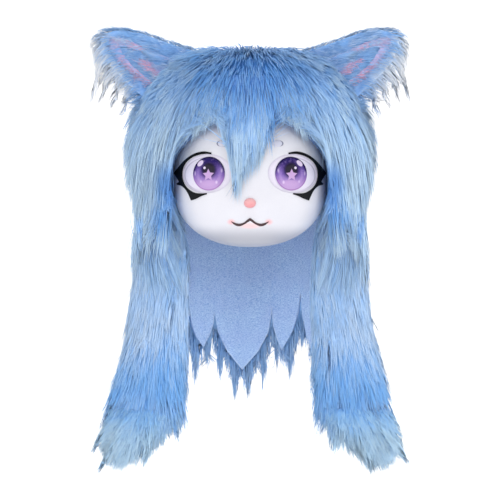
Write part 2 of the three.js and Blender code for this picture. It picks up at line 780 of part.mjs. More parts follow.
function headFur() {
  const pile = furEgg(0).subtract(belowEdge(hoodEdge));
  return largest(
    joined([pile, ...hoodLocks()])
      .subtract(hoodEgg(GAP))
      .subtract(hoodWindow(GAP))
      .subtract(faceSolidClear)
      .subtract(joined([earBody(-1, GAP), ...earLocks(-1)]))
      .subtract(joined([earBody(1, GAP), ...earLocks(1)]))
      .subtract(tailClear),
  );
}

// A strip on the front of the hood, and the locks that hang from it over the face.
function fringe() {
  const grid = (lift) => {
    return FRINGE_BEARINGS.map((bearing) => {
      return FRINGE_POLARS.map((polar) => furPoint(radians(bearing), radians(polar), lift));
    });
  };
  const strip = sheetSolid(grid(GAP + FRINGE_STRIP), grid(0));
  const sides = FRINGE_SIDES.flatMap((row) => [
    row,
    { ...row, root: -row.root, tip: -row.tip },
  ]);
  const locks = [...FRINGE, ...sides].map(({ root, tip, drop, width }) => {
    const bearing = -Math.asin((root * FRINGE_REACH) / hoodHalfWidth);
    const start = furPoint(bearing, radians(FRINGE_ROOT), GAP + FRINGE_STRIP / 2);
    const x = tip * FRINGE_REACH;
    const z = start.z - FRINGE_LENGTH * drop;
    const end = onFace(x, z, FRINGE_LIFT + FRINGE_LOCK_THICKNESS / 2);
    const bend = point((start.x + x) / 2, 0, (start.z + z) / 2);
    bend.y = Math.min(start.y, end.y) - FRINGE_LOCK_THICKNESS;
    return lock({
      root: start,
      bend,
      tip: end,
      across: point(1, 0, 0),
      width: FRINGE_LOCK_WIDTH * width,
      thickness: FRINGE_LOCK_THICKNESS,
    });
  });
  return largest(
    joined([strip, ...locks])
      .subtract(furEgg(GAP))
      .subtract(faceBody(-FRINGE_LIFT, FACE_SKIRT, ROUGH_ANGLES, ROUGH_RINGS)),
  );
}

// A tail or its tip, from a table of oval cross-sections.
function tailBody(side, table, top, length, width, depth, grow = 0) {
  const rings = table.map((row) => {
    return Array.from({ length: TAIL_SIDES }, (_, i) => {
      const turn = (2 * Math.PI * i) / TAIL_SIDES;
      const halfWidth = (width * row.width) / 2 + grow;
      const halfDepth = (depth * row.depth) / 2 + grow;
      return point(
        side * row.out * TAIL_REACH + halfWidth * Math.cos(turn),
        TAIL_SETBACK + halfDepth * Math.sin(turn),
        top - row.down * length,
      );
    });
  });
  return solidFromRings([capOf(rings[0]), ...rings, capOf(rings.at(-1))]);
}

// Locks on both edges and the front and back of a tail, at each inner row of its table. spread
// is how far they stand off, and lean how far they point away from the head.
function tailLocks(side, table, top, length, width, depth, { spread, lean }) {
  const around = [0, 120, 240].map(radians);
  return table.slice(1, -1).flatMap((row, k) => {
    return around.map((turn) => {
      const shifted = turn + (k % 2) * radians(60);
      const wide = ((width * row.width) / 2) * Math.cos(shifted);
      const deep = ((depth * row.depth) / 2) * Math.sin(shifted);
      const x = side * row.out * TAIL_REACH;
      const z = top - row.down * length;
      const root = point(x + wide * 0.8, TAIL_SETBACK + deep * 0.8, z);
      const outward = point(wide, deep * 0.6, 0).normalize();
      return lock({
        root,
        bend: root.clone().addScaledVector(outward, TAIL_LOCK_LENGTH * spread),
        tip: root
          .clone()
          .addScaledVector(outward, TAIL_LOCK_LENGTH * spread)
          .add(point(side * TAIL_LOCK_LENGTH * lean, 0, -TAIL_LOCK_LENGTH * (1 - lean / 2))),
        across: point(-outward.y, outward.x, 0),
        width: TAIL_LOCK_WIDTH,
        thickness: TAIL_LOCK_WIDTH * 0.6,
      });
    });
  });
}

const tailTop = hoodEdge - GAP;
const tipTop = tailTop - TAIL_LENGTH - GAP;

function tail(side) {
  const body = tailBody(side, TAIL, tailTop, TAIL_LENGTH, TAIL_WIDTH, TAIL_DEPTH);
  const way = { spread: 0.16, lean: 0.08 };
  const locks = tailLocks(side, TAIL, tailTop, TAIL_LENGTH, TAIL_WIDTH, TAIL_DEPTH, way);
  return largest(joined([body, ...locks]).subtract(belowEdge(tipTop + GAP)));
}

function tailTip(side) {
  const body = tailBody(side, TIP, tipTop, TIP_LENGTH, TIP_WIDTH, TIP_DEPTH);
  const way = { spread: 0.16, lean: 0.36 };
  const locks = tailLocks(side, TIP, tipTop, TIP_LENGTH, TIP_WIDTH, TIP_DEPTH, way);
  return largest(joined([body, ...locks]));
}

// The lower edge of the curtain: at a notch the drop is small, at a petal's tip it is whole.
function curtainColumns() {
  const ends = [...PETALS.slice(1), CURTAIN_END];
  const columns = PETALS.flatMap((petal, k) => {
    const end = ends[k];
    const falling = PETAL_STEPS.map((t) => ({
      bearing: petal.from + (petal.at - petal.from) * t,
      drop: petal.notch + (petal.tip - petal.notch) * Math.sqrt(t),
    }));
    const rising = PETAL_STEPS.slice(1).map((t) => ({
      bearing: end.from + (petal.at - end.from) * t,
      drop: end.notch + (petal.tip - end.notch) * Math.sqrt(t),
    }));
    return [...falling, { bearing: petal.at, drop: petal.tip }, ...rising.reverse()];
  });
  return [...columns, { bearing: CURTAIN_END.from, drop: CURTAIN_END.notch }];
}

const curtainTop = hoodEdge - GAP;

function curtainPoint(bearing, radius, z) {
  const turn = radians(bearing);
  return point(radius * Math.sin(turn), HOOD_SETBACK + radius * Math.cos(turn), z);
}

// A layer that hangs on the curtain's arc between two radii, its drop shortened by a hem.
function curtainLayer(inner, outer, top, hem) {
  const grid = (radius) => {
    return curtainColumns().map(({ bearing, drop }) => {
      const bottom = curtainTop - drop * CURTAIN_DROP + hem;
      return Array.from({ length: CURTAIN_ROWS }, (_, j) => {
        const z = top + ((bottom - top) * j) / (CURTAIN_ROWS - 1);
        return curtainPoint(bearing, radius, z);
      });
    });
  };
  return sheetSolid(grid(outer), grid(inner));
}

const curtainInner = hoodSection(hoodEdge).y - HOOD_WALL + CURTAIN_INSET;
const curtainOuter = curtainInner + CURTAIN_WALL;

const curtain = () => curtainLayer(curtainInner, curtainOuter, curtainTop, 0);

// The fur on the outside of the curtain, with locks that hang past the edges of the petals.
function napeFur() {
  const hem = 4;
  const layer = curtainLayer(curtainOuter + GAP, curtainOuter + NAPE_PILE, curtainTop, hem);
  const width = CURTAIN_END.from - PETALS[0].from;
  const locks = NAPE_LOCKS.flatMap(({ up, step }) => {
    return Array.from({ length: Math.floor(width / step) }, (_, i) => {
      return napeLock(PETALS[0].from + step * (i + 0.5), up);
    });
  });
  const inner = curtainCore(curtainOuter + GAP);
  return largest(joined([layer, ...locks]).subtract(inner).subtract(tailClear));
}

// A lock at a bearing, rooted above the curtain's edge there by a share of the curtain's drop.
function napeLock(bearing, up) {
  const edge = curtainColumns();
  const k = edge.findIndex((column) => column.bearing >= bearing);
  const [a, b] = [edge[k - 1], edge[k]];
  const t = (bearing - a.bearing) / (b.bearing - a.bearing);
  const drop = THREE.MathUtils.lerp(a.drop, b.drop, t);
  const z = curtainTop - (drop - up) * CURTAIN_DROP + NAPE_LOCK_LENGTH * 0.5;
  const radius = curtainOuter + GAP + NAPE_PILE / 2;
  return lock({
    root: curtainPoint(bearing, radius, z),
    bend: curtainPoint(bearing, radius + NAPE_PILE, z - NAPE_LOCK_LENGTH * 0.5),
    tip: curtainPoint(bearing, radius + NAPE_PILE * 0.4, z - NAPE_LOCK_LENGTH * 1.5),
    across: point(Math.cos(radians(bearing)), -Math.sin(radians(bearing)), 0),
    width: NAPE_LOCK_WIDTH,
    thickness: NAPE_PILE,
  });
}

// A round post that fills the curtain's arc, to cut what would reach through it.
function curtainCore(radius) {
  const ring = (z) => {
    return Array.from({ length: CORE_SIDES }, (_, i) => {
      return curtainPoint((360 * i) / CORE_SIDES, radius, z);
    });
  };
  const [top, bottom] = [ring(curtainTop + GAP), ring(curtainTop - FAR)];
  return solidFromRings([capOf(top), top, bottom, capOf(bottom)]);
}

// Grown copies of pieces, which cut their neighbours so that a gap is left
const faceSolidClear = faceBody(-GAP, FACE_SKIRT + GAP);
const tailClear = joined(
  [-1, 1].map((side) => {
    return tailBody(side, TAIL, tailTop, TAIL_LENGTH, TAIL_WIDTH, TAIL_DEPTH, GAP);
  }),
);

const FUR_BLUE = { color: 0x86aee0, roughness: 0.8 };
const FINISH = {
  fur: FUR_BLUE,
  deepFur: { color: 0x5f93d4, roughness: 0.8 },
  padding: { color: 0x7da3d6, roughness: 0.9 },
  shell: { color: 0xf1eff5, roughness: 0.45 },
  eye: { color: 0xe6e2f0, roughness: 0.3 },
  iris: { color: 0x7c58b8, roughness: 0.08 },
  lash: { color: 0x0b0b0d, roughness: 0.5 },
  nose: { color: 0xfbb0b0, roughness: 0.4 },
  brow: { color: 0xc7cbdd, roughness: 0.6 },
  plush: { color: 0xe3a3b8, roughness: 0.85 },
  cloth: { color: 0x93aedb, roughness: 0.9 },
};

const head = new THREE.Group();

// One named mesh from a solid, added to the head.
function addPiece(name, solid, finish) {
  const mesh = solid.getMesh();
  const places = new Float32Array(mesh.numVert * 3);
  for (let i = 0; i < mesh.numVert; i++) {
    places.set(mesh.vertProperties.subarray(i * mesh.numProp, i * mesh.numProp + 3), i * 3);
  }
  const geometry = new THREE.BufferGeometry();
  geometry.setAttribute("position", new THREE.BufferAttribute(places, 3));
  geometry.setIndex(new THREE.BufferAttribute(mesh.triVerts, 1));
  geometry.computeVertexNormals();
  const piece = new THREE.Mesh(geometry, new THREE.MeshStandardMaterial(finish));
  piece.name = name;
  head.add(piece);
}

addPiece("face_shell", faceShell(), FINISH.shell);
addPiece("nose", button(0, faceZ - NOSE_DROP, NOSE_WIDTH, NOSE_HEIGHT, NOSE_DOME), FINISH.nose);
addPiece("hood", hood(), FINISH.padding);
addPiece("head_fur", headFur(), FINISH.deepFur);
addPiece("fringe", fringe(), FINISH.fur);
addPiece("nape_curtain", curtain(), FINISH.cloth);
addPiece("nape_fur", napeFur(), FINISH.deepFur);
for (const { name, side } of [
  { name: "right", side: -1 },
  { name: "left", side: 1 },
]) {
  const browX = side * BROW_OFFSET;
  const brow = button(browX, faceZ + BROW_RISE, BROW_WIDTH, BROW_HEIGHT, BROW_DOME);
  addPiece(`eye_white_${name}`, eyeWhite(side), FINISH.eye);
  addPiece(`iris_${name}`, iris(side), FINISH.iris);
  addPiece(`lash_${name}`, lash(side), FINISH.lash);
  addPiece(`brow_${name}`, brow, FINISH.brow);
  addPiece(`ear_${name}`, ear(side), FINISH.fur);
  addPiece(`inner_ear_${name}`, innerEar(side), FINISH.plush);
  addPiece(`tail_${name}`, tail(side), FINISH.fur);
  addPiece(`tail_tip_${name}`, tailTip(side), FINISH.fur);
}

export default head;
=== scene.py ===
"""Looks of a cat-faced fursuit head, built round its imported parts.

Right and left are the wearer's own, and right is -X. The face looks along -Y, +Z is up, and all
lengths are in metres.
"""

import logging
import math
from dataclasses import dataclass, field
from enum import Enum
from functools import partial, partialmethod
from typing import Callable

import bpy
import numpy as np
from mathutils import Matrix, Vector
from mathutils.bvhtree import BVHTree
from mathutils.kdtree import KDTree


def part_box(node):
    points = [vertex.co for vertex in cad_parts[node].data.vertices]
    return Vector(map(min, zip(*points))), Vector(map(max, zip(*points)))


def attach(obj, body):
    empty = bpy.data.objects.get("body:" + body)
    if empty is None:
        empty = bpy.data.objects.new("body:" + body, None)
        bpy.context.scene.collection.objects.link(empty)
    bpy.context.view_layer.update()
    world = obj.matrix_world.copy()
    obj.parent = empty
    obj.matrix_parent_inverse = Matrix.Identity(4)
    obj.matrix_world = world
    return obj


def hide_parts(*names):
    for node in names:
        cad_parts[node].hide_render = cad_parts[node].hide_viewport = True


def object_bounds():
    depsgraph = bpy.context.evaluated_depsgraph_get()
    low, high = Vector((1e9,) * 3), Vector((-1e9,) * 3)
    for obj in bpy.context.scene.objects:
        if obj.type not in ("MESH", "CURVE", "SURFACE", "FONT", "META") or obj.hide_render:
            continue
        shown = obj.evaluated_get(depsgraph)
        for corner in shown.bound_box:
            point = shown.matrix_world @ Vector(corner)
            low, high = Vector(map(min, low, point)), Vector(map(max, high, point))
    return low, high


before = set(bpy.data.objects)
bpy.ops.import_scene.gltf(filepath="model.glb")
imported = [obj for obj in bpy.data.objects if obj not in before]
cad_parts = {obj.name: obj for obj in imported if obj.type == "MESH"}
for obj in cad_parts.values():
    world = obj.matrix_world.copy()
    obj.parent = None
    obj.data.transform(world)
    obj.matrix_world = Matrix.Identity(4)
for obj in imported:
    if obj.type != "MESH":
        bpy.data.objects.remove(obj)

CAD_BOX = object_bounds()
BODY = "root"
STRAND_UV = "OFBake"
SOFT_SHARE = 0.029
SOFT_EXTRA = 0.0095
LOG = logging.getLogger("fursuit_head")

Colour = tuple[float, float, float, float]
Shade = tuple[int, int, int]
Place = tuple[float, float, float]
Spot = tuple[float, float]
Rows = np.ndarray
Piece = bpy.types.Object


class Side(Enum):
    """The wearer's right or left half of the head."""

    RIGHT = -1
    LEFT = 1

    @property
    def word(self) -> str:
        """The side's name, as it ends the names of its nodes."""
        return self.name.lower()


def tint(shade: Shade) -> Colour:
    """Turn a screen colour, from 0 to 255, into the linear colour that a shader takes.

    Args:
        shade: Its red, green and blue.

    Returns:
        The linear colour with full alpha.
    """
    linear = [
        share / 12.92 if share <= 0.04045 else ((share + 0.055) / 1.055) ** 2.4
        for share in (part / 255 for part in shade)
    ]
    return (*linear, 1.0)


def smooth(low: float, high: float, value: Rows) -> Rows:
    """Rise smoothly from 0 where value is low to 1 where it is high."""
    share = np.clip((value - low) / (high - low), 0, 1)
    return share * share * (3 - 2 * share)


def unit(vectors: Rows) -> Rows:
    """Scale each row to length one."""
    return vectors / np.maximum(np.linalg.norm(vectors, axis=1, keepdims=True), 1e-9)


def alone(piece: Piece) -> None:
    """Select one piece and nothing else, and make it active."""
    if bpy.context.object and bpy.context.object.mode != "OBJECT":
        bpy.ops.object.mode_set(mode="OBJECT")
    bpy.ops.object.select_all(action="DESELECT")
    piece.select_set(True)
    bpy.context.view_layer.objects.active = piece


def modified(piece: Piece, kind: str, **settings: object) -> None:
    """Give a piece one modifier and apply it.

    Args:
        piece: The piece to change.
        kind: Blender's name of the modifier's type.
        settings: Values for the modifier's own properties.
    """
    alone(piece)
    step = piece.modifiers.new(kind.title(), kind)
    for name, value in settings.items():
        setattr(step, name, value)
    bpy.ops.object.modifier_apply(modifier=step.name)


def edited(piece: Piece, *steps: Callable[[], object], select: str = "SELECT") -> None:
    """Run operators on a piece's mesh in edit mode, with all of it selected or none."""
    alone(piece)
    bpy.ops.object.mode_set(mode="EDIT")
    bpy.ops.mesh.select_all(action=select)
    for step in steps:
        step()
    bpy.ops.object.mode_set(mode="OBJECT")


def turned_out() -> None:
    """Turn the selected faces outward."""
    bpy.ops.mesh.normals_make_consistent(inside=False)


def drawn_out(*step: float) -> None:
    """Extrude what is selected by a step along each axis."""
    bpy.ops.mesh.extrude_region_move(TRANSFORM_OT_translate={"value": step})


def added(name: str, data: bpy.types.ID) -> Piece:
    """Put a new object with this data in the scene."""
    piece = bpy.data.objects.new(name, data)
    bpy.context.collection.objects.link(piece)
    return piece


def primitive(name: str, add: Callable[..., object], **settings: object) -> Piece:
    """Place one of Blender's own shapes, with its transform applied.

    Args:
        name: The piece's name.
        add: The operator that makes the shape.
        settings: What the operator takes, and the shape's scale as stretch.

    Returns:
        The piece.
    """
    stretch = settings.pop("stretch", (1, 1, 1))
    bpy.ops.object.select_all(action="DESELECT")
    add(**settings)
    piece = bpy.context.object
    piece.name = name
    piece.scale = stretch
    bpy.ops.object.transform_apply(location=True, rotation=True, scale=True)
    return piece


def ball(name: str, segments: int, rings: int) -> tuple[Piece, Rows, Rows]:
    """Place a sphere of radius one with its poles on the Y axis.

    Args:
        name: The piece's name.
        segments: Faces round it.
        rings: Faces from pole to pole.

    Returns:
        The piece, its vertices and how far out from the axis each is.
    """
    piece = primitive(
        name,
        bpy.ops.mesh.primitive_uv_sphere_add,
        segments=segments,
        ring_count=rings,
        radius=1,
        rotation=(math.pi / 2, 0, 0),
    )
    places = corners(piece)
    return piece, places, np.clip(np.hypot(places[:, 0], places[:, 2]), 0, 1)


def copied(node: str, name: str) -> Piece:
    """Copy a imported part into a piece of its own, with its triangles joined up.

    Args:
        node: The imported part.
        name: The new piece's name.

    Returns:
        The piece, at the origin and with no material.
    """
    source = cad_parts[node]
    mesh = source.data.copy()
    mesh.transform(source.matrix_world)
    mesh.materials.clear()
    mesh.name = name
    piece = added(name, mesh)
    edited(piece, partial(bpy.ops.mesh.remove_doubles, threshold=1e-5))
    return piece


def corners(piece: Piece, key: str = "co") -> Rows:
    """The vertices of a piece, or what else the key names of them, one row each."""
    flat = np.empty(len(piece.data.vertices) * 3)
    piece.data.vertices.foreach_get(key, flat)
    return flat.reshape(-1, 3)


def facing(piece: Piece) -> Rows:
    """The vertex normals of a piece, one row each."""
    return corners(piece, "normal")


def reshaped(piece: Piece, places: Rows) -> None:
    """Move the vertices of a piece to new places."""
    piece.data.vertices.foreach_set("co", places.ravel())
    piece.data.update()


def softened(piece: Piece, angle: float | None = None) -> None:
    """Shade a piece smooth all over, or only across edges below an angle in degrees."""
    alone(piece)
    if angle is None:
        bpy.ops.object.shade_smooth()
    else:
        bpy.ops.object.shade_smooth_by_angle(angle=math.radians(angle))


def surface_of(*pieces: Piece) -> BVHTree:
    """The faces of some pieces as one searchable surface."""
    places, faces = [], []
    for piece in pieces:
        start = len(places)
        places.extend(vertex.co.copy() for vertex in piece.data.vertices)
        faces.extend([start + k for k in face.vertices] for face in piece.data.polygons)
    return BVHTree.FromPolygons(places, faces)


def placed(piece: Piece, slot: str, *nodes: str) -> Piece:
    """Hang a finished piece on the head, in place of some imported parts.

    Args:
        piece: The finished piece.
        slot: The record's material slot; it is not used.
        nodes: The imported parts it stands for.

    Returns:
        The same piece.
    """
    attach(piece, BODY)
    if nodes:
        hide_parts(*nodes)
    faces = sum(len(face.vertices) - 2 for face in piece.data.polygons)
    LOG.info("%s: %d triangles, for %s", piece.name, faces, ", ".join(nodes) or "no node")
    return piece


def node_in(
    tree: bpy.types.NodeTree, kind: str, values: dict[object, object], **settings: object
) -> bpy.types.ShaderNode:
    """Add a node to a tree.

    Args:
        tree: The tree.
        kind: The node's type, without the words that all types begin with.
        values: What its inputs take, by name or number: a field, a socket or a plain value.
        settings: Values for the node's own properties.

    Returns:
        The node.
    """
    node = tree.nodes.new(f"ShaderNode{kind}")
    for name, value in settings.items():
        setattr(node, name, value)
    for place, value in values.items():
        value = value.socket if isinstance(value, Field) else value
        if isinstance(value, bpy.types.NodeSocket):
            tree.links.new(value, node.inputs[place])
        else:
            node.inputs[place].default_value = value
    return node


class Field:
    """A number or a colour that varies over a surface, as a socket of a node tree."""

    def __init__(self, tree: bpy.types.NodeTree, socket: bpy.types.NodeSocket) -> None:
        """Keep the tree and the socket."""
        self.tree = tree
        self.socket = socket

    def via(self, operation: str, *others: "Field | float") -> "Field":
        """Join this number with others in one Math node.

        Args:
            operation: Blender's name of the operation.
            others: The other numbers, varying or plain.

        Returns:
            The node's output.
        """
        values = dict(enumerate((self, *others)))
        return Field(self.tree, node_in(self.tree, "Math", values, operation=operation).outputs[0])

    __add__ = partialmethod(via, "ADD")
    __sub__ = partialmethod(via, "SUBTRACT")
    __mul__ = partialmethod(via, "MULTIPLY")
    __truediv__ = partialmethod(via, "DIVIDE")
    size = partialmethod(via, "ABSOLUTE")
    most = partialmethod(via, "MAXIMUM")

    def rise(self, low: float, high: float) -> "Field":
        """Rise smoothly from 0 at low to 1 at high, or fall where high is the lower.

        Args:
            low: The value that gives 0.
            high: The value that gives 1.

        Returns:
            The share between them.
        """
        ends = (min(low, high), max(low, high), float(low > high), float(low <= high))
        values = dict(enumerate((self, *ends)))
        node = node_in(self.tree, "MapRange", values, interpolation_type="SMOOTHSTEP")
        return Field(self.tree, node.outputs["Result"])

    def between(self, first: object, second: object) -> "Field":
        """Mix two colours, with this number as the share of the second."""
        values = {0: self, 6: first, 7: second}
        return Field(self.tree, node_in(self.tree, "Mix", values, data_type="RGBA").outputs[2])


def hypotenuse(across: Field, up: Field) -> Field:
    """The distance that two numbers at right angles give."""
    return (across * across + up * up).via("SQRT")


def noise(vector: Field, scale: "Field | float", detail: float) -> Field:
    """Place a noise texture.

    Args:
        vector: The coordinates that it reads.
        scale: How many grains there are to a metre.
        detail: How many finer layers it has.

    Returns:
        Its value, from 0 to 1.
    """
    values = {"Vector": vector, "Scale": scale, "Detail": detail}
    return Field(vector.tree, node_in(vector.tree, "TexNoise", values).outputs["Fac"])


def stretched(vector: Field, scale: Place) -> Field:
    """Stretch coordinates by a factor along each axis."""
    node = node_in(vector.tree, "Mapping", {"Vector": vector, "Scale": scale})
    return Field(vector.tree, node.outputs["Vector"])


class Pattern:
    """A group of nodes that more than one finish uses, with named inputs and outputs."""

    def __init__(self, name: str, inputs: dict[str, object], outputs: dict[str, str]) -> None:
        """Make the group and its sockets.

        Args:
            name: The group's name.
            inputs: Each input's default: a number, a colour, or None for a vector.
            outputs: Each output's socket type.
        """
        self.tree = bpy.data.node_groups.new(name, "ShaderNodeTree")
        kinds = {float: "Float", tuple: "Color", type(None): "Vector"}
        for label, value in inputs.items():
            kind = f"NodeSocket{kinds[type(value)]}"
            socket = self.tree.interface.new_socket(label, in_out="INPUT", socket_type=kind)
            if value is not None:
                socket.default_value = value
        for label, kind in outputs.items():
            self.tree.interface.new_socket(label, in_out="OUTPUT", socket_type=kind)
        self.start = self.tree.nodes.new("NodeGroupInput")
        self.end = self.tree.nodes.new("NodeGroupOutput")

    def given(self, label: str) -> Field:
        """One of the group's inputs."""
        return Field(self.tree, self.start.outputs[label])

    def give(self, label: str, value: Field) -> None:
        """Set one of the group's outputs."""
        self.tree.links.new(value.socket, self.end.inputs[label])


def fur_colour_group() -> bpy.types.NodeTree:
    """The colour of a hair from its tone and the share of the way along it."""
    black = (0.0, 0.0, 0.0, 1.0)
    shades = ("Deep Root", "Deep Tip", "Pale Root", "Pale Tip")
    inputs = {"Tone": 0.5, "Along": 0.5, **dict.fromkeys(shades, black)}
    group = Pattern("Fur Colour", inputs, {"Color": "NodeSocketColor"})
    root, tip = (
        group.given("Tone").between(group.given(f"Deep {end}"), group.given(f"Pale {end}"))
        for end in ("Root", "Tip")
    )
    group.give("Color", group.given("Along").rise(0.0, 0.9).between(root, tip))
    return group.tree


def mottle_group() -> bpy.types.NodeTree:
    """A soft mottle with a finer grain in it, for colour and roughness."""
    inputs = {"Vector": None, "Broad Scale": 30.0, "Fine Scale": 400.0, "Fine Share": 0.4}
    group = Pattern("Mottle", inputs, {"Mottle": "NodeSocketFloat"})
    broad = noise(group.given("Vector"), group.given("Broad Scale"), 3.0)
    fine = noise(group.given("Vector"), group.given("Fine Scale"), 1.0)
    share = group.given("Fine Share")
    group.give("Mottle", broad * ((share * -1.0) + 1.0) + fine * share)
    return group.tree


def knit_group() -> bpy.types.NodeTree:
    """The relief of a brushed knit: short loops in rows, blurred by fluff."""
    outputs = {"Height": "NodeSocketFloat", "Fleck": "NodeSocketFloat"}
    group = Pattern("Knit", {"Vector": None, "Loops": 400.0}, outputs)
    loops = group.given("Loops")
    rows = noise(stretched(group.given("Vector"), (0.45, 0.45, 1.0)), loops, 2.0)
    fluff = noise(group.given("Vector"), loops * 2.2, 2.0)
    group.give("Height", rows * 0.7 + fluff * 0.3)
    group.give("Fleck", (rows * 0.6 + fluff * 0.4).rise(0.36, 0.64))
    return group.tree


GROUPS = {"fur": fur_colour_group(), "mottle": mottle_group(), "knit": knit_group()}


def spelt(label: str) -> str:
    """Blender's own spelling of an input's name."""
    return label.replace("_", " ").title().replace("Ior", "IOR")


class Look:
    """A material with one Principled shader, whose colour is laid in layers."""

    def __init__(self, name: str, **plain: object) -> None:
        """Make the material.

        Args:
            name: The finish's name.
            plain: Values that are the same all over, by input with _ for a space.
        """
        self.material = bpy.data.materials.new(name)
        self.material.use_nodes = True
        self.tree = self.material.node_tree
        self.shader = self.tree.nodes["Principled BSDF"]
        for label, value in plain.items():
            self.shader.inputs[spelt(label)].default_value = value
        self.place = Field(self.tree, self.tree.nodes.new("ShaderNodeTexCoord").outputs["Object"])
        self.colour: Field | None = None

    def parts(self, vector: Field) -> list[Field]:
        """The three numbers of a vector."""
        node = node_in(self.tree, "SeparateXYZ", {0: vector})
        return [Field(self.tree, output) for output in node.outputs]

    def axes(self) -> list[Field]:
        """X, Y and Z over the surface, in metres."""
        return self.parts(self.place)

    def strand(self) -> list[Field]:
        """The tone of a hair and the share of the way along it, from its UV map."""
        node = node_in(self.tree, "UVMap", {}, uv_map=STRAND_UV)
        return self.parts(Field(self.tree, node.outputs["UV"]))[:2]

    def over(self, share: Field, *shades: Shade) -> "Look":
        """Lay a colour over what is there, or begin with two.

        Args:
            share: How much of the last colour shows.
            shades: One screen colour, or two where nothing is there yet.

        Returns:
            This look.
        """
        colours = [tint(shade) for shade in shades]
        self.colour = share.between(*([self.colour] if self.colour else []), *colours)
        return self.feed("Base Color", self.colour)

    def group(self, name: str, **given: object) -> dict[str, Field]:
        """Place a shared group.

        Args:
            name: The group's key.
            given: Its inputs, by name with _ for a space.

        Returns:
            Its outputs by name.
        """
        values = {spelt(label): value for label, value in given.items()}
        node = node_in(self.tree, "Group", values, node_tree=GROUPS[name])
        return {out.name: Field(self.tree, out) for out in node.outputs}

    def mottle(self, broad: float = 30.0, fine: float = 400.0) -> Field:
        """A soft mottle, from how many broad and fine grains it has to a metre."""
        return self.group("mottle", vector=self.place, broad_scale=broad, fine_scale=fine)["Mottle"]

    def feed(self, label: str, value: Field) -> "Look":
        """Link a field to one of the shader's inputs."""
        self.tree.links.new(value.socket, self.shader.inputs[label])
        return self

    def bump(self, height: Field, strength: float, distance: float) -> "Look":
        """Give the surface relief.

        Args:
            height: The relief, from 0 to 1.
            strength: How strongly it shows.
            distance: How deep it is, in metres.

        Returns:
            This look.
        """
        values = {"Strength": strength, "Distance": distance, "Height": height}
        return self.feed("Normal", Field(self.tree, node_in(self.tree, "Bump", values).outputs[0]))

    def dress(self, *pieces: Piece) -> None:
        """Put this look on some pieces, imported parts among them."""
        for piece in pieces:
            piece.data.materials.clear()
            piece.data.materials.append(self.material)


@dataclass(frozen=True)
class FurFinish:
    """The colours of one kind of fur, from its deepest hairs to its palest."""

    name: str
    deep_root: Shade
    deep_tip: Shade
    pale_root: Shade
    pale_tip: Shade
    shadow: tuple[float, float, float, float] | None = None

    def look(self) -> Look:
        """Make the material."""
        look = Look(self.name, roughness=0.6, sheen_weight=0.05, specular_ior_level=0.2)
        tone, along = look.strand()
        if self.shadow:
            x, y, z = look.axes()
            across, level, wide, high = self.shadow
            spot = hypotenuse((x.size() - across) / wide, (z - level) / high)
            near = (spot + y.rise(-0.04, 0.02) * 2).rise(0.2, 1.4)
            tone = tone * (near * 0.7 + 0.3)
            along = along * (near * 0.6 + 0.4)
        names = ("deep_root", "deep_tip", "pale_root", "pale_tip")
        shades = {key: tint(getattr(self, key)) for key in names}
        return look.feed("Base Color", look.group("fur", tone=tone, along=along, **shades)["Color"])


HEAD_FUR = FurFinish(
    "Head fur", (58, 132, 220), (120, 182, 248), (160, 206, 254), (208, 234, 255),
    shadow=(0.140, -0.172, 0.024, 0.040),
)
EAR_FUR = FurFinish(
    "Ear fur", (112, 166, 232), (142, 192, 246), (208, 224, 246), (252, 253, 255)
)
PLUSH = FurFinish(
    "Inner ear plush", (214, 158, 194), (230, 184, 214), (146, 178, 232), (172, 202, 246)
)
TAIL_FUR = FurFinish(
    "Tail fur", (92, 164, 242), (138, 196, 254), (168, 204, 244), (206, 228, 254)
)
TIP_FUR = FurFinish(
    "Tail tip fur", (108, 178, 254), (160, 210, 255), (166, 214, 255), (204, 234, 255)
)
NAPE_FUR = FurFinish(
    "Nape fur", (112, 162, 220), (150, 194, 240), (166, 204, 244), (204, 226, 250)
)


def falling(lean: Rows, flare: "Rows | float" = 0.0) -> Rows:
    """Downward directions, one row each, that lean to the side and flare to the back."""
    return np.column_stack(np.broadcast_arrays(lean, flare, -1.0))


@dataclass
class Pile:
    """How the hair of one region grows. Each kind of region overrides what differs."""

    length: float = 0.06
    lift: float = 0.3
    droop: float = 0.15

    def keep(self, roots: Rows, normals: Rows) -> Rows:
        """Say which roots may carry hair."""
        return np.ones(len(roots), bool)

    def comb(self, places: Rows) -> Rows:
        """Say which way the hair is combed at some places."""
        return np.tile((0.0, 0.0, -1.0), (len(places), 1))

    def cleared(self, places: Rows) -> Rows:
        """Move hair away from what it leaves bare."""
        return places

    def raised(self, roots: Rows) -> Rows:
        """Say how far the hair stands up there, one row each."""
        return np.full((len(roots), 1), self.lift)

    def reach(self, roots: Rows) -> Rows:
        """Say how long the hair is there, as a share of the pile's length."""
        return np.ones(len(roots))

    def tone(self, roots: Rows) -> Rows:
        """Say how pale the hair is there, from 0 to 1."""
        return np.full(len(roots), 0.5)


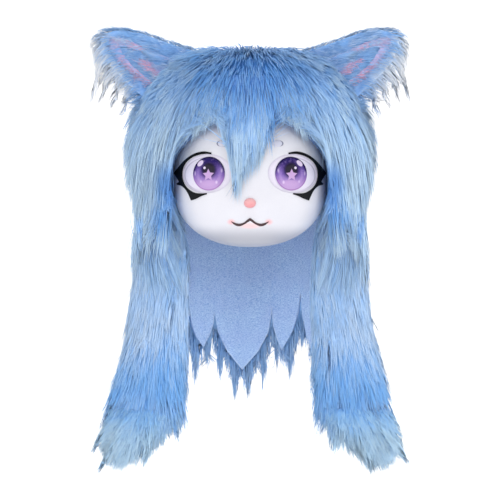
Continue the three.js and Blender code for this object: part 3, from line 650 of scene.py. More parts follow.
@dataclass
class HeadPile(Pile):
    """Hair that runs from the crown forward, outward and down over the cheeks."""

    length: float = 0.095
    lift: float = 0.18
    crown: Place = (0.0, 0.10, 0.11)
    back: bool = False
    split: float = 0.04
    power: float = 2.2
    room: float = 1.03
    face_half: Place = (0.134, 0.135, 0.111)
    face_level: float = -0.165

    def keep(self, roots: Rows, normals: Rows) -> Rows:
        """Keep the outer side, and the half in front of or behind the ears."""
        behind = roots[:, 1] > self.split
        return behind if self.back else ~behind

    def comb(self, places: Rows) -> Rows:
        """Fan out from the crown, then fall."""
        x, _, z = places.T
        away = unit(places - np.array(self.crown))
        high = smooth(-0.16, 0.05, z)[:, None]
        outward = np.sign(x) * smooth(0.02, 0.10, np.abs(x))
        return unit(away * high + falling(0.10 * outward) * (1 - high))

    def cleared(self, places: Rows) -> Rows:
        """Sweep the hair round the face, below the line of the brow."""
        x, y, z = places.T
        wide, rise, drop = self.face_half
        across, up = np.abs(x), z - self.face_level
        share = (across / wide) ** self.power
        share = share + (np.abs(up) / np.where(up > 0, rise, drop)) ** self.power
        brow = -0.062 - 0.52 * np.maximum(across - 0.055, 0)
        brow = brow - 0.1 * smooth(0.048, 0.034, across)
        inside = (share < self.room) & (z < brow) & (y < 0)
        grow = (self.room / np.maximum(share, 0.3)) ** (1 / self.power)
        swell = np.where(inside, grow, 1)[:, None]
        middle = [0, self.face_level]
        moved = places.copy()
        moved[:, [0, 2]] = middle + (places[:, [0, 2]] - middle) * swell
        return moved

    def raised(self, roots: Rows) -> Rows:
        """Let the hair stand up more on the crown."""
        return self.lift * (1 + 2.6 * smooth(0.035, 0.06, roots[:, 2:]))

    def reach(self, roots: Rows) -> Rows:
        """Shorten the hair over the forehead and lengthen it at the sides."""
        x, y, z = roots.T
        forehead = smooth(-0.085, -0.115, y) * smooth(0.02, -0.04, z)
        wide = np.abs(x)
        forehead = forehead * smooth(0.11, 0.07, wide) * smooth(0.030, 0.045, wide)
        nearer = np.column_stack([wide, roots[:, 1:]])
        along, across = EarPile().shares(nearer)
        ear = smooth(-0.22, -0.05, along) * smooth(0.50, 0.40, across)
        ear = ear * smooth(-0.35, -0.20, across) * smooth(0.03, 0.0, y)
        long = 0.7 + 0.3 * smooth(0.06, -0.06, z)
        return long * (1 - 0.6 * forehead) * (1 - 0.6 * ear)

    def tone(self, roots: Rows) -> Rows:
        """Deepest on the crown, palest on the cheeks, and darkened beside the eyes as painted
        shade.
        """
        x, y, z = roots.T
        wide = smooth(0.02, 0.14, np.abs(x))
        low = smooth(0.03, -0.10, z)
        # painted shade: the hair beside the eyes is made deep where the face shades it
        temple_shade = np.hypot((np.abs(x) - 0.145) / 0.020, (z + 0.165) / 0.030)
        tone = np.clip(0.03 + 0.50 * wide + 0.38 * low, 0, 1)
        temple_shade = temple_shade + 2 * smooth(-0.04, 0.02, y)
        return tone * (0.15 + 0.85 * smooth(0.6, 1.4, temple_shade))


@dataclass
class FringePile(HeadPile):
    """Hair of the strip over the brow, parted to both sides."""

    length: float = 0.030

    def comb(self, places: Rows) -> Rows:
        """Fall straight in the middle and slantwise at the sides."""
        x = places[:, 0]
        return unit(falling(np.sign(x) * 0.8 * smooth(0.035, 0.07, np.abs(x))))

    cleared = Pile.cleared
    reach = Pile.reach

    def tone(self, roots: Rows) -> Rows:
        """Paler towards the ends."""
        return 0.25 + 0.45 * smooth(-0.04, -0.13, roots[:, 2])


@dataclass
class EarPile(Pile):
    """Hair that runs out along an ear and droops in pale wisps from its outer edge."""

    side: Side = Side.LEFT
    length: float = 0.050
    lift: float = 0.14
    root: Spot = (0.130, 0.015)
    tilt: float = math.radians(36)
    reach_along: float = 0.151
    reach_across: float = 0.139

    SLANT = 0.50

    def shares(self, places: Rows) -> tuple[Rows, Rows]:
        """Say how far along and across the ear some places are."""
        x, _, z = places.T
        out = x * self.side.value - self.root[0]
        up = z - self.root[1]
        along = out * math.cos(self.tilt) + up * math.sin(self.tilt)
        across = out * math.sin(self.tilt) - up * math.cos(self.tilt)
        return along / self.reach_along, across / self.reach_across

    def slanted(self, places: Rows) -> tuple[Rows, Rows]:
        """Say how far along the ear some places are, and how far down its slanting front."""
        along, across = self.shares(places)
        return along, across + self.SLANT * along

    def comb(self, places: Rows) -> Rows:
        """Run out along the ear, then turn down."""
        along, across = self.shares(places)
        turn = smooth(0.15, 0.80, across + 0.35 * along)[:, None]
        out = np.array([self.side.value * math.cos(0.25), 0.0, math.sin(0.25)])
        lean = self.side.value * (0.25 + 0.60 * smooth(0.95, 0.2, along))
        return unit(out * (1 - turn) + falling(lean) * turn)

    def reach(self, roots: Rows) -> Rows:
        """Shorten the hair at the upper edge, and over a band where the plush shows."""
        along, across = self.shares(roots)
        band = np.abs(across + self.SLANT * along - 0.33) < 0.10
        long = (0.5 + 0.5 * smooth(-0.3, 0.1, across)) * (1 - 0.25 * smooth(0.7, 1.0, along))
        long = long * (1 - 0.45 * smooth(0.8, 0.4, along))
        return np.where(band & (along < 0.86) & (roots[:, 1] < 0), 0.22, 1) * long

    def tone(self, roots: Rows) -> Rows:
        """Pale in the wisps of the outer edge."""
        along, slant = self.slanted(roots)
        return 0.10 + 0.86 * smooth(0.44, 0.62, slant) * smooth(0.15, 0.4, along)


@dataclass
class VeilPile(EarPile):
    """Long hair that lies over the hollow of an ear, down to where the plush shows."""

    length: float = 0.060
    lift: float = 0.12

    def keep(self, roots: Rows, normals: Rows) -> Rows:
        """Keep the front, above the bare band."""
        along, slant = self.slanted(roots)
        return (normals[:, 1] < -0.2) & (slant < 0.13 + 0.28 * smooth(0.35, 0.75, along))

    def reach(self, roots: Rows) -> Rows:
        """Reach just to the band."""
        along, slant = self.slanted(roots)
        end = 0.18 + 0.28 * smooth(0.35, 0.75, along)
        return np.clip((end - slant) * 3.0, 0.15, 1)

    def tone(self, roots: Rows) -> Rows:
        """Deep at the top and paler towards the band."""
        return 0.06 + 0.25 * smooth(-0.2, 0.35, self.slanted(roots)[1])


@dataclass
class PlushPile(EarPile):
    """Short pink hair in the hollow of an ear."""

    length: float = 0.011
    lift: float = 0.4

    def keep(self, roots: Rows, normals: Rows) -> Rows:
        """Keep the front alone."""
        return normals[:, 1] < 0.2

    reach = Pile.reach

    def tone(self, roots: Rows) -> Rows:
        """Pink in a band towards the lower edge, strongest near the root of the ear."""
        along, slant = self.slanted(roots)
        band = smooth(0.10, 0.18, slant) * smooth(0.56, 0.48, slant)
        return np.clip(0.05 + 0.60 * smooth(0.30, 0.90, along) + 0.95 * (1 - band), 0, 1)


@dataclass
class TailPile(Pile):
    """Hair that runs down a hanging tail and flares a little at its sides."""

    side: Side = Side.LEFT
    length: float = 0.062
    lift: float = 0.16
    seam: float = -0.545

    def comb(self, places: Rows) -> Rows:
        """Run down, a little outward, and wander from clump to clump."""
        x, y, z = places.T
        wave = np.sin(z * 38 + x * 25)
        middle = 0.150 - 0.13 * (z + 0.28)
        apart = x * self.side.value - middle
        spread = 6.0 * apart * smooth(-0.34, -0.50, z)
        lean = self.side.value * (0.17 + spread) + 0.05 * wave
        return unit(falling(lean, 0.6 * (y - 0.02)))

    def reach(self, roots: Rows) -> Rows:
        """End in uneven tufts over the seam."""
        x, y, z = roots.T
        uneven = 0.5 + 0.5 * np.sin(x * 330 + 4 * np.sin(y * 90))
        return 1 + 0.25 * uneven * smooth(self.seam + 0.06, self.seam + 0.01, z)

    def tone(self, roots: Rows) -> Rows:
        """Pale over its length and deep towards the seam of its tip."""
        x, _, z = roots.T
        near = smooth(self.seam + 0.145, self.seam + 0.05, z)
        near = near * (1 - 0.5 * smooth(self.seam + 0.04, self.seam + 0.01, z))
        edge = smooth(0.13, 0.20, np.abs(x))
        return 0.62 - 0.58 * near + 0.15 * edge * (1 - near)


@dataclass
class TipPile(Pile):
    """Hair that fans out from the end of a tail."""

    side: Side = Side.LEFT
    length: float = 0.050
    lift: float = 0.20

    def comb(self, places: Rows) -> Rows:
        """Fan out and down from a point above the tip."""
        above = np.array([self.side.value * 0.160, 0.02, -0.490])
        return unit(places - above)

    def reach(self, roots: Rows) -> Rows:
        """Shorten the hair at the seam and along the inner side."""
        x, _, z = roots.T
        wide = x * self.side.value
        ends = (0.70 + 0.30 * smooth(0.12, 0.20, wide)) * (1 - 0.35 * smooth(0.215, 0.255, wide))
        ends = ends * (1 - 0.25 * smooth(-0.60, -0.65, z))
        return (0.45 + 0.55 * smooth(-0.56, -0.61, z)) * ends

    def tone(self, roots: Rows) -> Rows:
        """Deep at the seam, pale at the end."""
        return 0.02 + 0.90 * smooth(-0.555, -0.600, roots[:, 2])


@dataclass
class NapePile(Pile):
    """Hair on the outside of the nape curtain, past its petals."""

    length: float = 0.052
    lift: float = 0.04
    centre: float = 0.015

    def keep(self, roots: Rows, normals: Rows) -> Rows:
        """Crowd the roots towards the lower edge."""
        x, _, z = roots.T
        scatter = np.sin(x * 9100 + z * 7300)
        return (z < -0.38) | (scatter > 0.6)

    def cleared(self, places: Rows) -> Rows:
        """Keep the hair outside the arc of the cloth."""
        _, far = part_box("nape_curtain")
        radius = far.y - self.centre + 0.002
        apart = places[:, :2] - [0, self.centre]
        away = np.linalg.norm(apart, axis=1, keepdims=True)
        moved = places.copy()
        moved[:, :2] = [0, self.centre] + apart * np.maximum(radius / np.maximum(away, 1e-6), 1)
        return moved

    def tone(self, roots: Rows) -> Rows:
        """Deeper up under the head."""
        return 0.05 + 0.3 * smooth(-0.25, -0.45, roots[:, 2])


@dataclass(frozen=True)
class Tuft:
    """One tuft that is laid from given points, in the plane of X and Z."""

    root: Spot
    bend: Spot
    tip: Spot
    hairs: int
    tone: float
    spread: float

    GATHER = 0.35


def sewn(rows: tuple[tuple[float, ...], ...], both: bool = False) -> tuple[Tuft, ...]:
    """Make tufts from rows of numbers.

    Args:
        rows: X and Z of each tuft's root, bend and tip, its hairs, its tone and its spread,
            with lengths in millimetres.
        both: Whether the other side of the face has the same ones.

    Returns:
        The tufts, those of the second side after the first's.
    """
    made = []
    for sign in (1, -1) if both else (1,):
        for *spots, hairs, tone, spread in rows:
            across, up = (np.array(spots[k::2]) / 1000 for k in (0, 1))
            root, bend, tip = zip(across * sign, up, strict=True)
            made.append(Tuft(root, bend, tip, hairs, tone, spread / 1000))
    return tuple(made)


@dataclass
class StrandBatch:
    """Hairs as paths of four points, with the tone and thickness of each."""

    paths: Rows
    fronts: Rows
    tones: Rows
    widths: Rows
    lean: float

    TAPER = (1.0, 0.72)
    SIDES = 3
    POINTS = 8
    UV_WIDTH = 1 / 90
    UV_ROWS = (0.02, 0.35, 0.72, 0.98)

    def vertices(self) -> tuple[Rows, Rows]:
        """Place the points of each hair: its root, two rings and its tip.

        Returns:
            The vertices and their shading normals, which lean towards the skin's.
        """
        places, normals = [self.paths[:, 0]], [self.fronts[:, 0]]
        for step, taper in enumerate(self.TAPER, 1):
            ahead = unit(self.paths[:, step + 1] - self.paths[:, step - 1])
            front = self.fronts[:, step]
            across = unit(np.cross(ahead, front))
            up = np.cross(across, ahead)
            for side in range(self.SIDES):
                turn = 2 * math.pi * side / self.SIDES
                spoke = across * math.cos(turn) + up * math.sin(turn)
                places.append(self.paths[:, step] + spoke * self.widths[:, None] * taper / 2)
                normals.append(unit(spoke * (1 - self.lean) + front * self.lean))
        places.append(self.paths[:, 3])
        normals.append(unit(self.fronts[:, 3] * self.lean + up * (1 - self.lean)))
        flat = [np.stack(rows, axis=1).reshape(-1, 3) for rows in (places, normals)]
        return flat[0], flat[1]

    def mark(self, corner: int, row: int) -> Rows:
        """The UV of one corner of each hair, at its root, a ring or its tip."""
        tones = self.tones + self.UV_WIDTH * corner / (self.SIDES - 1)
        return np.stack([tones, np.full(len(tones), self.UV_ROWS[row])], axis=1)

    def faces(self) -> list[tuple[Rows, Rows]]:
        """Close each hair into a needle of three sides.

        Returns:
            Faces with their UVs, first the quads and then the triangles.
        """
        first = np.arange(len(self.paths))[:, None] * self.POINTS
        quads, tris = [], []
        for corner in range(self.SIDES):
            after = (corner + 1) % self.SIDES
            low, high = 1, 1 + self.SIDES
            quads.append((
                (low + after, low + corner, high + corner, high + after),
                ((after, 1), (corner, 1), (corner, 2), (after, 2)),
            ))
            tris.append((
                (high + after, high + corner, self.POINTS - 1),
                ((after, 2), (corner, 2), (corner, 3)),
            ))
            tris.append(((low + corner, low + after, 0), ((corner, 1), (after, 1), (corner, 0))))
        return [
            (
                np.concatenate([first + np.array(ring) for ring, _ in made]),
                np.concatenate(
                    [np.stack([self.mark(*spot) for spot in marks], axis=1) for _, marks in made]
                ),
            )
            for made in (quads, tris)
        ]


def loops_of(piece: Piece) -> tuple[Rows, Rows]:
    """How many corners each face of a piece has, and the vertices at them, as flat arrays."""
    mesh = piece.data
    sizes, corner = (np.empty(len(rows), np.int32) for rows in (mesh.polygons, mesh.loops))
    mesh.polygons.foreach_get("loop_total", sizes)
    mesh.loops.foreach_get("vertex_index", corner)
    return sizes, corner


@dataclass
class FurCoat:
    """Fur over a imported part: a soft skin, and hairs that are combed over it."""

    name: str
    node: str
    slot: str
    finish: FurFinish
    pile: Pile
    hairs: int
    seed: int
    voxel: float = 0.005
    sink: float = 0.004
    width: float = 0.0014
    clump: int = 8
    pull: float = 0.30
    frizz: float = 0.0012
    stray: float = 0.05
    inner: tuple[str, ...] = ()
    inner_room: float = 0.008
    skinned: bool = True
    stands: bool = True
    smoothing: int = 5
    lean: float = 0.6
    tufts: tuple[Tuft, ...] = ()
    lies_on: tuple[str, ...] = ()
    rng: np.random.Generator = field(init=False)

    STEPS = 6
    TRIED = 3.2
    START_DEPTH = 0.002
    ROOM = 0.0015
    ROOM_RISE = 0.004
    WANDER = 0.07
    TONES = (0.02, 0.96)
    TONE_SPREADS = (0.10, 0.08, 0.08)
    WIDTHS = (0.7, 1.25)
    STRAY_WIDTH = 0.6
    STRAY_PUSH = 0.006
    SKIN_ALONG = (0.25, 0.50)
    TUFT_LIFTS = (0.003, 0.009)
    TUFT_ROOT = 0.003
    ALONG = np.array([0.0, 0.35, 0.7, 1.0])[:, None]
    FRIZZ = np.array([0, 0.5, 1, 1])[:, None]
    STRAY = np.array([0, 0.3, 0.7, 1.2])[:, None]
    TUFT_LIFT = np.array([1.0, 1.0, 0.9])

    def __post_init__(self) -> None:
        """Seed this coat's own random numbers."""
        self.rng = np.random.default_rng(self.seed)

    def skin(self) -> Piece:
        """Make the soft form that the hair grows from."""
        piece = copied(self.node, f"{self.name}_skin")
        modified(piece, "REMESH", mode="VOXEL", voxel_size=self.voxel)
        modified(piece, "SMOOTH", factor=0.6, iterations=self.smoothing)
        reshaped(piece, corners(piece) - facing(piece) * self.sink)
        return piece

    def roots(self, skin: Piece) -> tuple[Rows, Rows]:
        """Scatter roots over the outer side of the skin.

        Args:
            skin: The soft form.

        Returns:
            The roots and the outward direction at each.
        """
        places, normals = corners(skin), facing(skin)
        quads = loops_of(skin)[1].reshape(-1, 4)
        triangles = np.concatenate([quads[:, [0, 1, 2]], quads[:, [0, 2, 3]]])
        a, b, c = (places[triangles[:, k]] for k in range(3))
        area = np.linalg.norm(np.cross(b - a, c - a), axis=1)
        wanted = int(self.hairs * self.TRIED)
        chosen = self.rng.choice(len(triangles), wanted, p=area / area.sum())
        first, second = self.rng.random((2, wanted, 1))
        flip = first + second > 1
        first, second = np.where(flip, 1 - first, first), np.where(flip, 1 - second, second)
        spots = a[chosen] * (1 - first - second) + b[chosen] * first + c[chosen] * second
        fronts = unit(normals[triangles[chosen]].mean(axis=1))
        kept = self.pile.keep(spots, fronts)
        if self.inner:
            bare = surface_of(*(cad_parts[node] for node in self.inner))
            near = np.array([bare.find_nearest(Vector(spot))[3] for spot in spots])
            kept &= near > self.inner_room
        return spots[kept][: self.hairs], fronts[kept][: self.hairs]

    def grown(self, roots: Rows, fronts: Rows, around: BVHTree) -> tuple[Rows, Rows]:
        """Grow a path from each root, kept outside the skin.

        Args:
            roots: Where the hairs start.
            fronts: The outward direction at each root.
            around: The surface that hair may not enter.

        Returns:
            Four points for each hair, and the outward direction at each.
        """
        count, steps = len(roots), self.STEPS
        lengths = self.pile.length * self.pile.reach(roots) * self.rng.uniform(0.7, 1.15, count)
        lift = self.pile.raised(roots) * self.rng.uniform(0.6, 1.4, (count, 1))
        comb = self.pile.comb(roots)
        wander = self.rng.normal(0, self.WANDER, (count, 3))
        heading = unit(fronts * lift + comb * (1 - lift) + wander)
        place = roots - fronts * self.START_DEPTH
        path, faced = [place], [fronts]
        for step in range(1, steps + 1):
            along = step / steps
            comb = self.pile.comb(place)
            comb[:, 2] -= self.pile.droop * along
            heading = unit(heading * 0.6 + comb * 0.4 + wander * 0.12)
            place = place + heading * (lengths / steps)[:, None]
            room = self.ROOM + self.ROOM_RISE * along
            place, front = pushed_out(self.pile.cleared(place), faced[-1], around, room)
            path.append(place)
            faced.append(front)
        return np.stack(path[::2], axis=1), np.stack(faced[::2], axis=1)

    def gathered(self, paths: Rows, size: int, pull: float) -> tuple[Rows, Rows]:
        """Draw the hairs towards guides among them, as damp or brushed fur clumps.

        Args:
            paths: Four points for each hair.
            size: How many hairs share a guide.
            pull: How far a tip goes towards its guide's.

        Returns:
            The gathered paths and the guide of each hair.
        """
        guides = self.rng.choice(len(paths), max(len(paths) // size, 1), replace=False)
        tree = KDTree(len(guides))
        for k, guide in enumerate(guides):
            tree.insert(paths[guide, 1], k)
        tree.balance()
        owner = np.array([tree.find(spot)[1] for spot in paths[:, 1]])
        lead = paths[guides[owner]]
        apart = paths[:, :1] - lead[:, :1]
        towards = lead + apart * (1 - 0.8 * self.ALONG)
        weight = pull * self.ALONG * self.rng.uniform(0.4, 1.1, (len(paths), 1, 1))
        return paths * (1 - weight) + towards * weight, owner

    def laid(self, front: BVHTree) -> tuple[Rows, Rows, Rows]:
        """Lay the tufts over what is behind them.

        Args:
            front: The surface seen from the front.

        Returns:
            The paths, the outward direction and the tone of each hair.
        """
        paths, tones = [], []
        for tuft in self.tufts:
            root, bend, tip = (np.array(spot) for spot in (tuft.root, tuft.bend, tuft.tip))
            off = self.rng.normal(0, tuft.spread, (tuft.hairs, 2)) * (1.0, 0.6)
            off[:, 1] += self.rng.uniform(-0.020, 0.014, tuft.hairs)
            back = self.rng.normal(0, tuft.spread * tuft.GATHER, (tuft.hairs, 2))
            last = self.rng.uniform(0.45, 1.0, tuft.hairs) ** 0.8
            t = (last[:, None] * np.arange(4) / 3)[..., None]
            flat = (1 - t) ** 2 * root + 2 * t * (1 - t) * bend + t * t * tip
            flat = flat + off[:, None] * (1 - t) + back[:, None] * t
            lift = self.rng.uniform(*self.TUFT_LIFTS, tuft.hairs)
            depth = np.zeros(flat.shape[:2])
            for at in np.ndindex(depth.shape):
                x, z = flat[at]
                hit = front.ray_cast(Vector((x, -0.4, z)), Vector((0, 1, 0)))[0]
                depth[at] = (hit or front.find_nearest(Vector((x, 0, z)))[0]).y
            depth[:, 0] += self.TUFT_ROOT
            depth[:, 1:] -= lift[:, None] * self.TUFT_LIFT
            paths.append(np.stack([flat[..., 0], depth, flat[..., 1]], axis=2))
            tones.append(np.full(tuft.hairs, tuft.tone))
        joined = np.concatenate(paths)
        fronts = np.tile((0.0, -1.0, 0.0), (len(joined), 4, 1))
        return joined, fronts, np.concatenate(tones)

    def build(self) -> Piece:
        """Make the skin and the hair as one piece.

        Returns:
            The finished piece.
        """
        skin = self.skin()
        roots, fronts = self.roots(skin)
        paths, fronts = self.grown(roots, fronts, surface_of(skin))
        tones = self.pile.tone(roots)
        if self.tufts:
            front = surface_of(skin, *(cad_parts[node] for node in self.lies_on))
            hairs = zip((paths, fronts, tones), self.laid(front), strict=True)
            paths, fronts, tones = (np.concatenate(both) for both in hairs)
        fine, coarse, single = self.TONE_SPREADS
        clumps = ((self.clump, self.pull, fine), (self.clump * 6, self.pull * 0.7, coarse))
        for size, pull, spread in clumps:
            paths, owner = self.gathered(paths, size, pull)
            tones = tones + self.rng.normal(0, spread, owner.max() + 1)[owner]
        tones = np.clip(tones + self.rng.normal(0, single, len(tones)), *self.TONES)
        paths[:, 1:] = self.pile.cleared(paths[:, 1:].reshape(-1, 3)).reshape(-1, 3, 3)
        paths = paths + self.rng.normal(0, self.frizz, paths.shape) * self.FRIZZ
        stray = self.rng.random(len(paths)) < self.stray
        push = self.rng.normal(0, self.STRAY_PUSH, (len(paths), 1, 3)) * self.STRAY
        paths = np.where(stray[:, None, None], paths + push, paths)
        widths = self.width * self.rng.uniform(*self.WIDTHS, len(paths))
        widths = widths * np.where(stray, self.STRAY_WIDTH, 1.0)
        return self.joined(skin, StrandBatch(kept_in(paths), fronts, tones, widths, self.lean))

    def joined(self, skin: Piece, batch: StrandBatch) -> Piece:
        """Put the hairs and the skin in one mesh.

        Args:
            skin: The soft form.
            batch: The hairs.

        Returns:
            The piece that holds both.
        """
        places, normals = batch.vertices()
        faces = batch.faces()
        corner = [f.reshape(-1) for f, _ in faces]
        marks = [uv.reshape(-1, 2) for _, uv in faces]
        sizes = [np.full(len(f), f.shape[1]) for f, _ in faces]
        if self.skinned:
            below = corners(skin)
            skin_sizes, skin_corner = loops_of(skin)
            tones = np.clip(self.pile.tone(below) + self.rng.normal(0, 0.05, len(below)), 0, 1)
            along = self.rng.uniform(*self.SKIN_ALONG, len(below))
            marks.append(np.stack([tones, along], axis=1)[skin_corner])
            corner.append(skin_corner + len(places))
            sizes.append(skin_sizes)
            places = np.concatenate([places, below])
            normals = np.concatenate([normals, facing(skin)])
        every = np.concatenate(corner).astype(np.int32)
        lengths = np.concatenate(sizes)
        starts = np.concatenate([[0], np.cumsum(lengths)[:-1]]).astype(np.int32)
        mesh = bpy.data.meshes.new(self.name)
        mesh.vertices.add(len(places))
        mesh.loops.add(len(every))
        mesh.polygons.add(len(lengths))
        mesh.vertices.foreach_set("co", places.ravel())
        mesh.loops.foreach_set("vertex_index", every)
        mesh.polygons.foreach_set("loop_start", starts)
        mesh.polygons.foreach_set("use_smooth", np.ones(len(lengths), bool))
        layer = mesh.uv_layers.new(name=STRAND_UV)
        layer.data.foreach_set("uv", np.concatenate(marks).ravel())
        mesh.update(calc_edges=True)
        mesh.normals_split_custom_set_from_vertices(normals)
        bpy.data.objects.remove(skin)
        piece = added(self.name, mesh)
        self.finish.look().dress(piece)
        return placed(piece, self.slot, *([self.node] if self.stands else []))


def kept_in(places: Rows) -> Rows:
    """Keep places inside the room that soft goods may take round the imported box."""
    low, high = (np.array(corner) for corner in CAD_BOX)
    room = SOFT_SHARE * (high - low) + SOFT_EXTRA
    return np.clip(places, low - room, high + room)


def pushed_out(places: Rows, fronts: Rows, around: BVHTree, room: float) -> tuple[Rows, Rows]:
    """Move the places that are inside a surface, or too near it, to just outside it.

    Args:
        places: The places to test.
        fronts: The outward directions they had before.
        around: The surface.
        room: How far outside they have to be.

    Returns:
        The moved places, and their outward directions now.
    """
    moved, faced = places.copy(), fronts.copy()
    for k, place in enumerate(places):
        spot, normal, _, _ = around.find_nearest(Vector(place), 0.05)
        if spot is None or normal.dot(Vector(fronts[k])) < 0:
            continue
        faced[k] = normal
        gap = (Vector(place) - spot).dot(normal)
        if gap < room:
            moved[k] = spot + normal * room
    return moved, unit(faced + fronts)


@dataclass
class Face:
    """The hard moulded face, with its mouth and nose."""

    width: float = 0.268
    level: float = -0.165
    rise: float = 0.135
    drop: float = 0.111
    depth_whole: float = 0.150
    wall: float = 0.003
    skirt: float = 0.010
    side_rim: float = 0.010
    chin_rim: float = 0.060
    brow_rim: float = 0.050
    power: float = 2.2
    segments: int = 192
    rings: int = 96
    muzzle_drop: float = 0.052
    muzzle_lift: float = 0.009
    muzzle_spread: float = 0.046
    muzzle_height: float = 0.034
    nose_size: Spot = (0.0200, 0.0165)
    nose_drop: float = 0.038
    nose_dome: float = 0.0062
    mouth_level: float = -0.234
    mouth_half: float = 0.0315
    mouth_curl: float = 0.0045
    eye_offset: float = 0.072
    eye_rise: float = 0.012
    eye_size: Spot = (0.085, 0.066)

    MOUTH_UPPER = ((0, 1.30), (0.12, 0.80), (0.3, -0.25), (0.55, -0.80), (0.82, -0.45), (1, 0.10))
    MOUTH_LOWER = ((0, 0.05), (0.12, -0.20), (0.3, -0.95), (0.55, -1.60), (0.82, -1.10), (1, 0.0))

    def depth(self, x: Rows, z: Rows, inset: float = 0.0) -> Rows:
        """The Y of the moulded surface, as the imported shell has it.

        Args:
            x: Places across the face.
            z: Heights.
            inset: How far behind the surface to be.

        Returns:
            The depth at each place.
        """
        across = np.abs(x) / (self.width / 2 - inset)
        half = np.where(z > self.level, self.rise, self.drop) - inset
        up = (z - self.level) / half
        share = np.minimum(1, across**self.power + np.abs(up) ** self.power)
        turn = np.arctan2(np.sign(up) * np.abs(up) ** (self.power / 2), across ** (self.power / 2))
        upward = np.sin(turn)
        end = np.where(upward > 0, self.brow_rim, self.chin_rim)
        rim = -(self.side_rim + (end - self.side_rim) * upward**2)
        bulge = (1 - share) ** (1 / self.power)
        swell = (x / self.muzzle_spread) ** 2
        swell = swell + ((z - self.level + self.muzzle_drop) / self.muzzle_height) ** 2
        muzzle = self.muzzle_lift * np.exp(-swell)
        return rim - (self.depth_whole - inset + rim) * bulge - muzzle

    def relief(self, x: Rows, z: Rows) -> Rows:
        """How far the lips and the philtrum go in, in metres."""
        line = self.mouth_level + self.mouth_curl * np.interp(
            np.abs(x) / self.mouth_half, *np.array(self.MOUTH_UPPER).T
        )
        inside = smooth(1.25, 0.85, np.abs(x) / self.mouth_half)
        groove = 0.0016 * np.exp(-(((z - line + 0.001) / 0.0035) ** 2)) * inside
        lip = ((z - line + 0.0075) / 0.0045) ** 2 + (x / 0.017) ** 2
        philtrum = ((z - line - 0.010) / 0.008) ** 2 + (x / 0.0022) ** 2
        return groove - 0.0016 * np.exp(-lip) + 0.0006 * np.exp(-philtrum)

    def lifted(self, x: Rows, z: Rows, lift: "Rows | float") -> Rows:
        """Places off the moulded surface along its normal.

        Args:
            x: Places across the face.
            z: Heights.
            lift: How far in front of the surface they are.

        Returns:
            The places, one row each.
        """
        step = 0.0005
        slope_x = (self.depth(x + step, z) - self.depth(x - step, z)) / (2 * step)
        slope_z = (self.depth(x, z + step) - self.depth(x, z - step)) / (2 * step)
        normal = unit(np.column_stack([slope_x, -np.ones_like(slope_x), slope_z]))
        base = np.column_stack([x, self.depth(x, z), z])
        return base + normal * np.broadcast_to(lift, x.shape)[:, None]

    def shell(self) -> Piece:
        """Shape half a sphere into the shell, thicken it and cut the eye openings."""
        piece = ball("moulded_face", self.segments, self.rings)[0]
        halve = {"plane_co": (0, 1e-4, 0), "plane_no": (0, 1, 0), "clear_outer": True}
        edited(piece, partial(bpy.ops.mesh.bisect, **halve))
        across, _, up = corners(piece).T
        out = np.clip(np.hypot(across, up), 0, 1)
        turn = np.arctan2(up, across)
        half = np.where(np.sin(turn) > 0, self.rise, self.drop)
        square_x, square_z = (
            np.sign(share) * np.abs(share) ** (2 / self.power)
            for share in (np.cos(turn), np.sin(turn))
        )
        x = out * self.width / 2 * square_x
        z = self.level + out * half * square_z
        reshaped(piece, np.column_stack([x, self.depth(x, z) + self.relief(x, z), z]))
        edited(piece, turned_out)
        rim = partial(bpy.ops.mesh.select_non_manifold, extend=False)
        edited(piece, rim, partial(drawn_out, 0, self.skirt, 0), select="DESELECT")
        modified(piece, "SOLIDIFY", thickness=self.wall, offset=-1)
        width, height = self.eye_size
        for side in Side:
            cutter = primitive(
                "eye_cutter",
                bpy.ops.mesh.primitive_cylinder_add,
                vertices=96,
                radius=0.5,
                depth=0.3,
                location=(side.value * self.eye_offset, -0.15, self.level + self.eye_rise),
                rotation=(math.pi / 2, 0, 0),
                stretch=(width, height, 1),
            )
            modified(piece, "BOOLEAN", operation="DIFFERENCE", object=cutter, solver="EXACT")
            bpy.data.objects.remove(cutter)
        softened(piece, 40)
        return piece

    def lens(
        self,
        name: str,
        centre: Spot,
        size: Spot,
        back: float,
        front: Callable[[Rows], Rows],
        segments: int = 64,
        rings: int = 32,
    ) -> Piece:
        """Shape a sphere into a closed lens that follows the face.

        Args:
            name: The piece's name.
            centre: Its middle, in X and Z.
            size: Its width and height.
            back: The lift of its back off the moulded surface.
            front: The lift of its front, from the share of the way out.
            segments: Faces round it.
            rings: Faces from pole to pole.

        Returns:
            The piece.
        """
        piece, places, out = ball(name, segments, rings)
        x, z = (centre[k] + places[:, 2 * k] * size[k] / 2 for k in (0, 1))
        lift = np.where(places[:, 1] < 1e-6, front(out), back)
        reshaped(piece, np.column_stack([x, self.lifted(x, z, lift)[:, 1], z]))
        edited(piece, turned_out)
        softened(piece)
        return piece

    def flat_piece(
        self, name: str, outline: list[Spot], lift: float, thick: float, cell: float
    ) -> Piece:
        """Lay a flat shape on the face and thicken it.

        Args:
            name: The piece's name.
            outline: The shape's corners in X and Z, in order.
            lift: How far its back is off the moulded surface.
            thick: Its thickness.
            cell: The size of the squares it is divided into, so that it follows the face.

        Returns:
            The piece.
        """
        mesh = bpy.data.meshes.new(name)
        mesh.from_pydata([(x, 0, z) for x, z in outline], [], [list(range(len(outline)))])
        piece = added(name, mesh)
        places = corners(piece)
        low, high = places.min(axis=0), places.max(axis=0)
        for axis in (0, 2):
            normal = [float(k == axis) for k in range(3)]
            for cut in np.arange(low[axis] + cell, high[axis], cell):
                spot = [float(cut) * share for share in normal]
                edited(piece, partial(bpy.ops.mesh.bisect, plane_co=spot, plane_no=normal))
        edited(piece, partial(drawn_out, 0, -1, 0))
        places = corners(piece)
        lifts = np.where(places[:, 1] < -0.5, lift + thick, lift)
        reshaped(piece, self.lifted(places[:, 0], places[:, 2], lifts))
        edited(piece, turned_out)
        softened(piece, 40)
        return piece

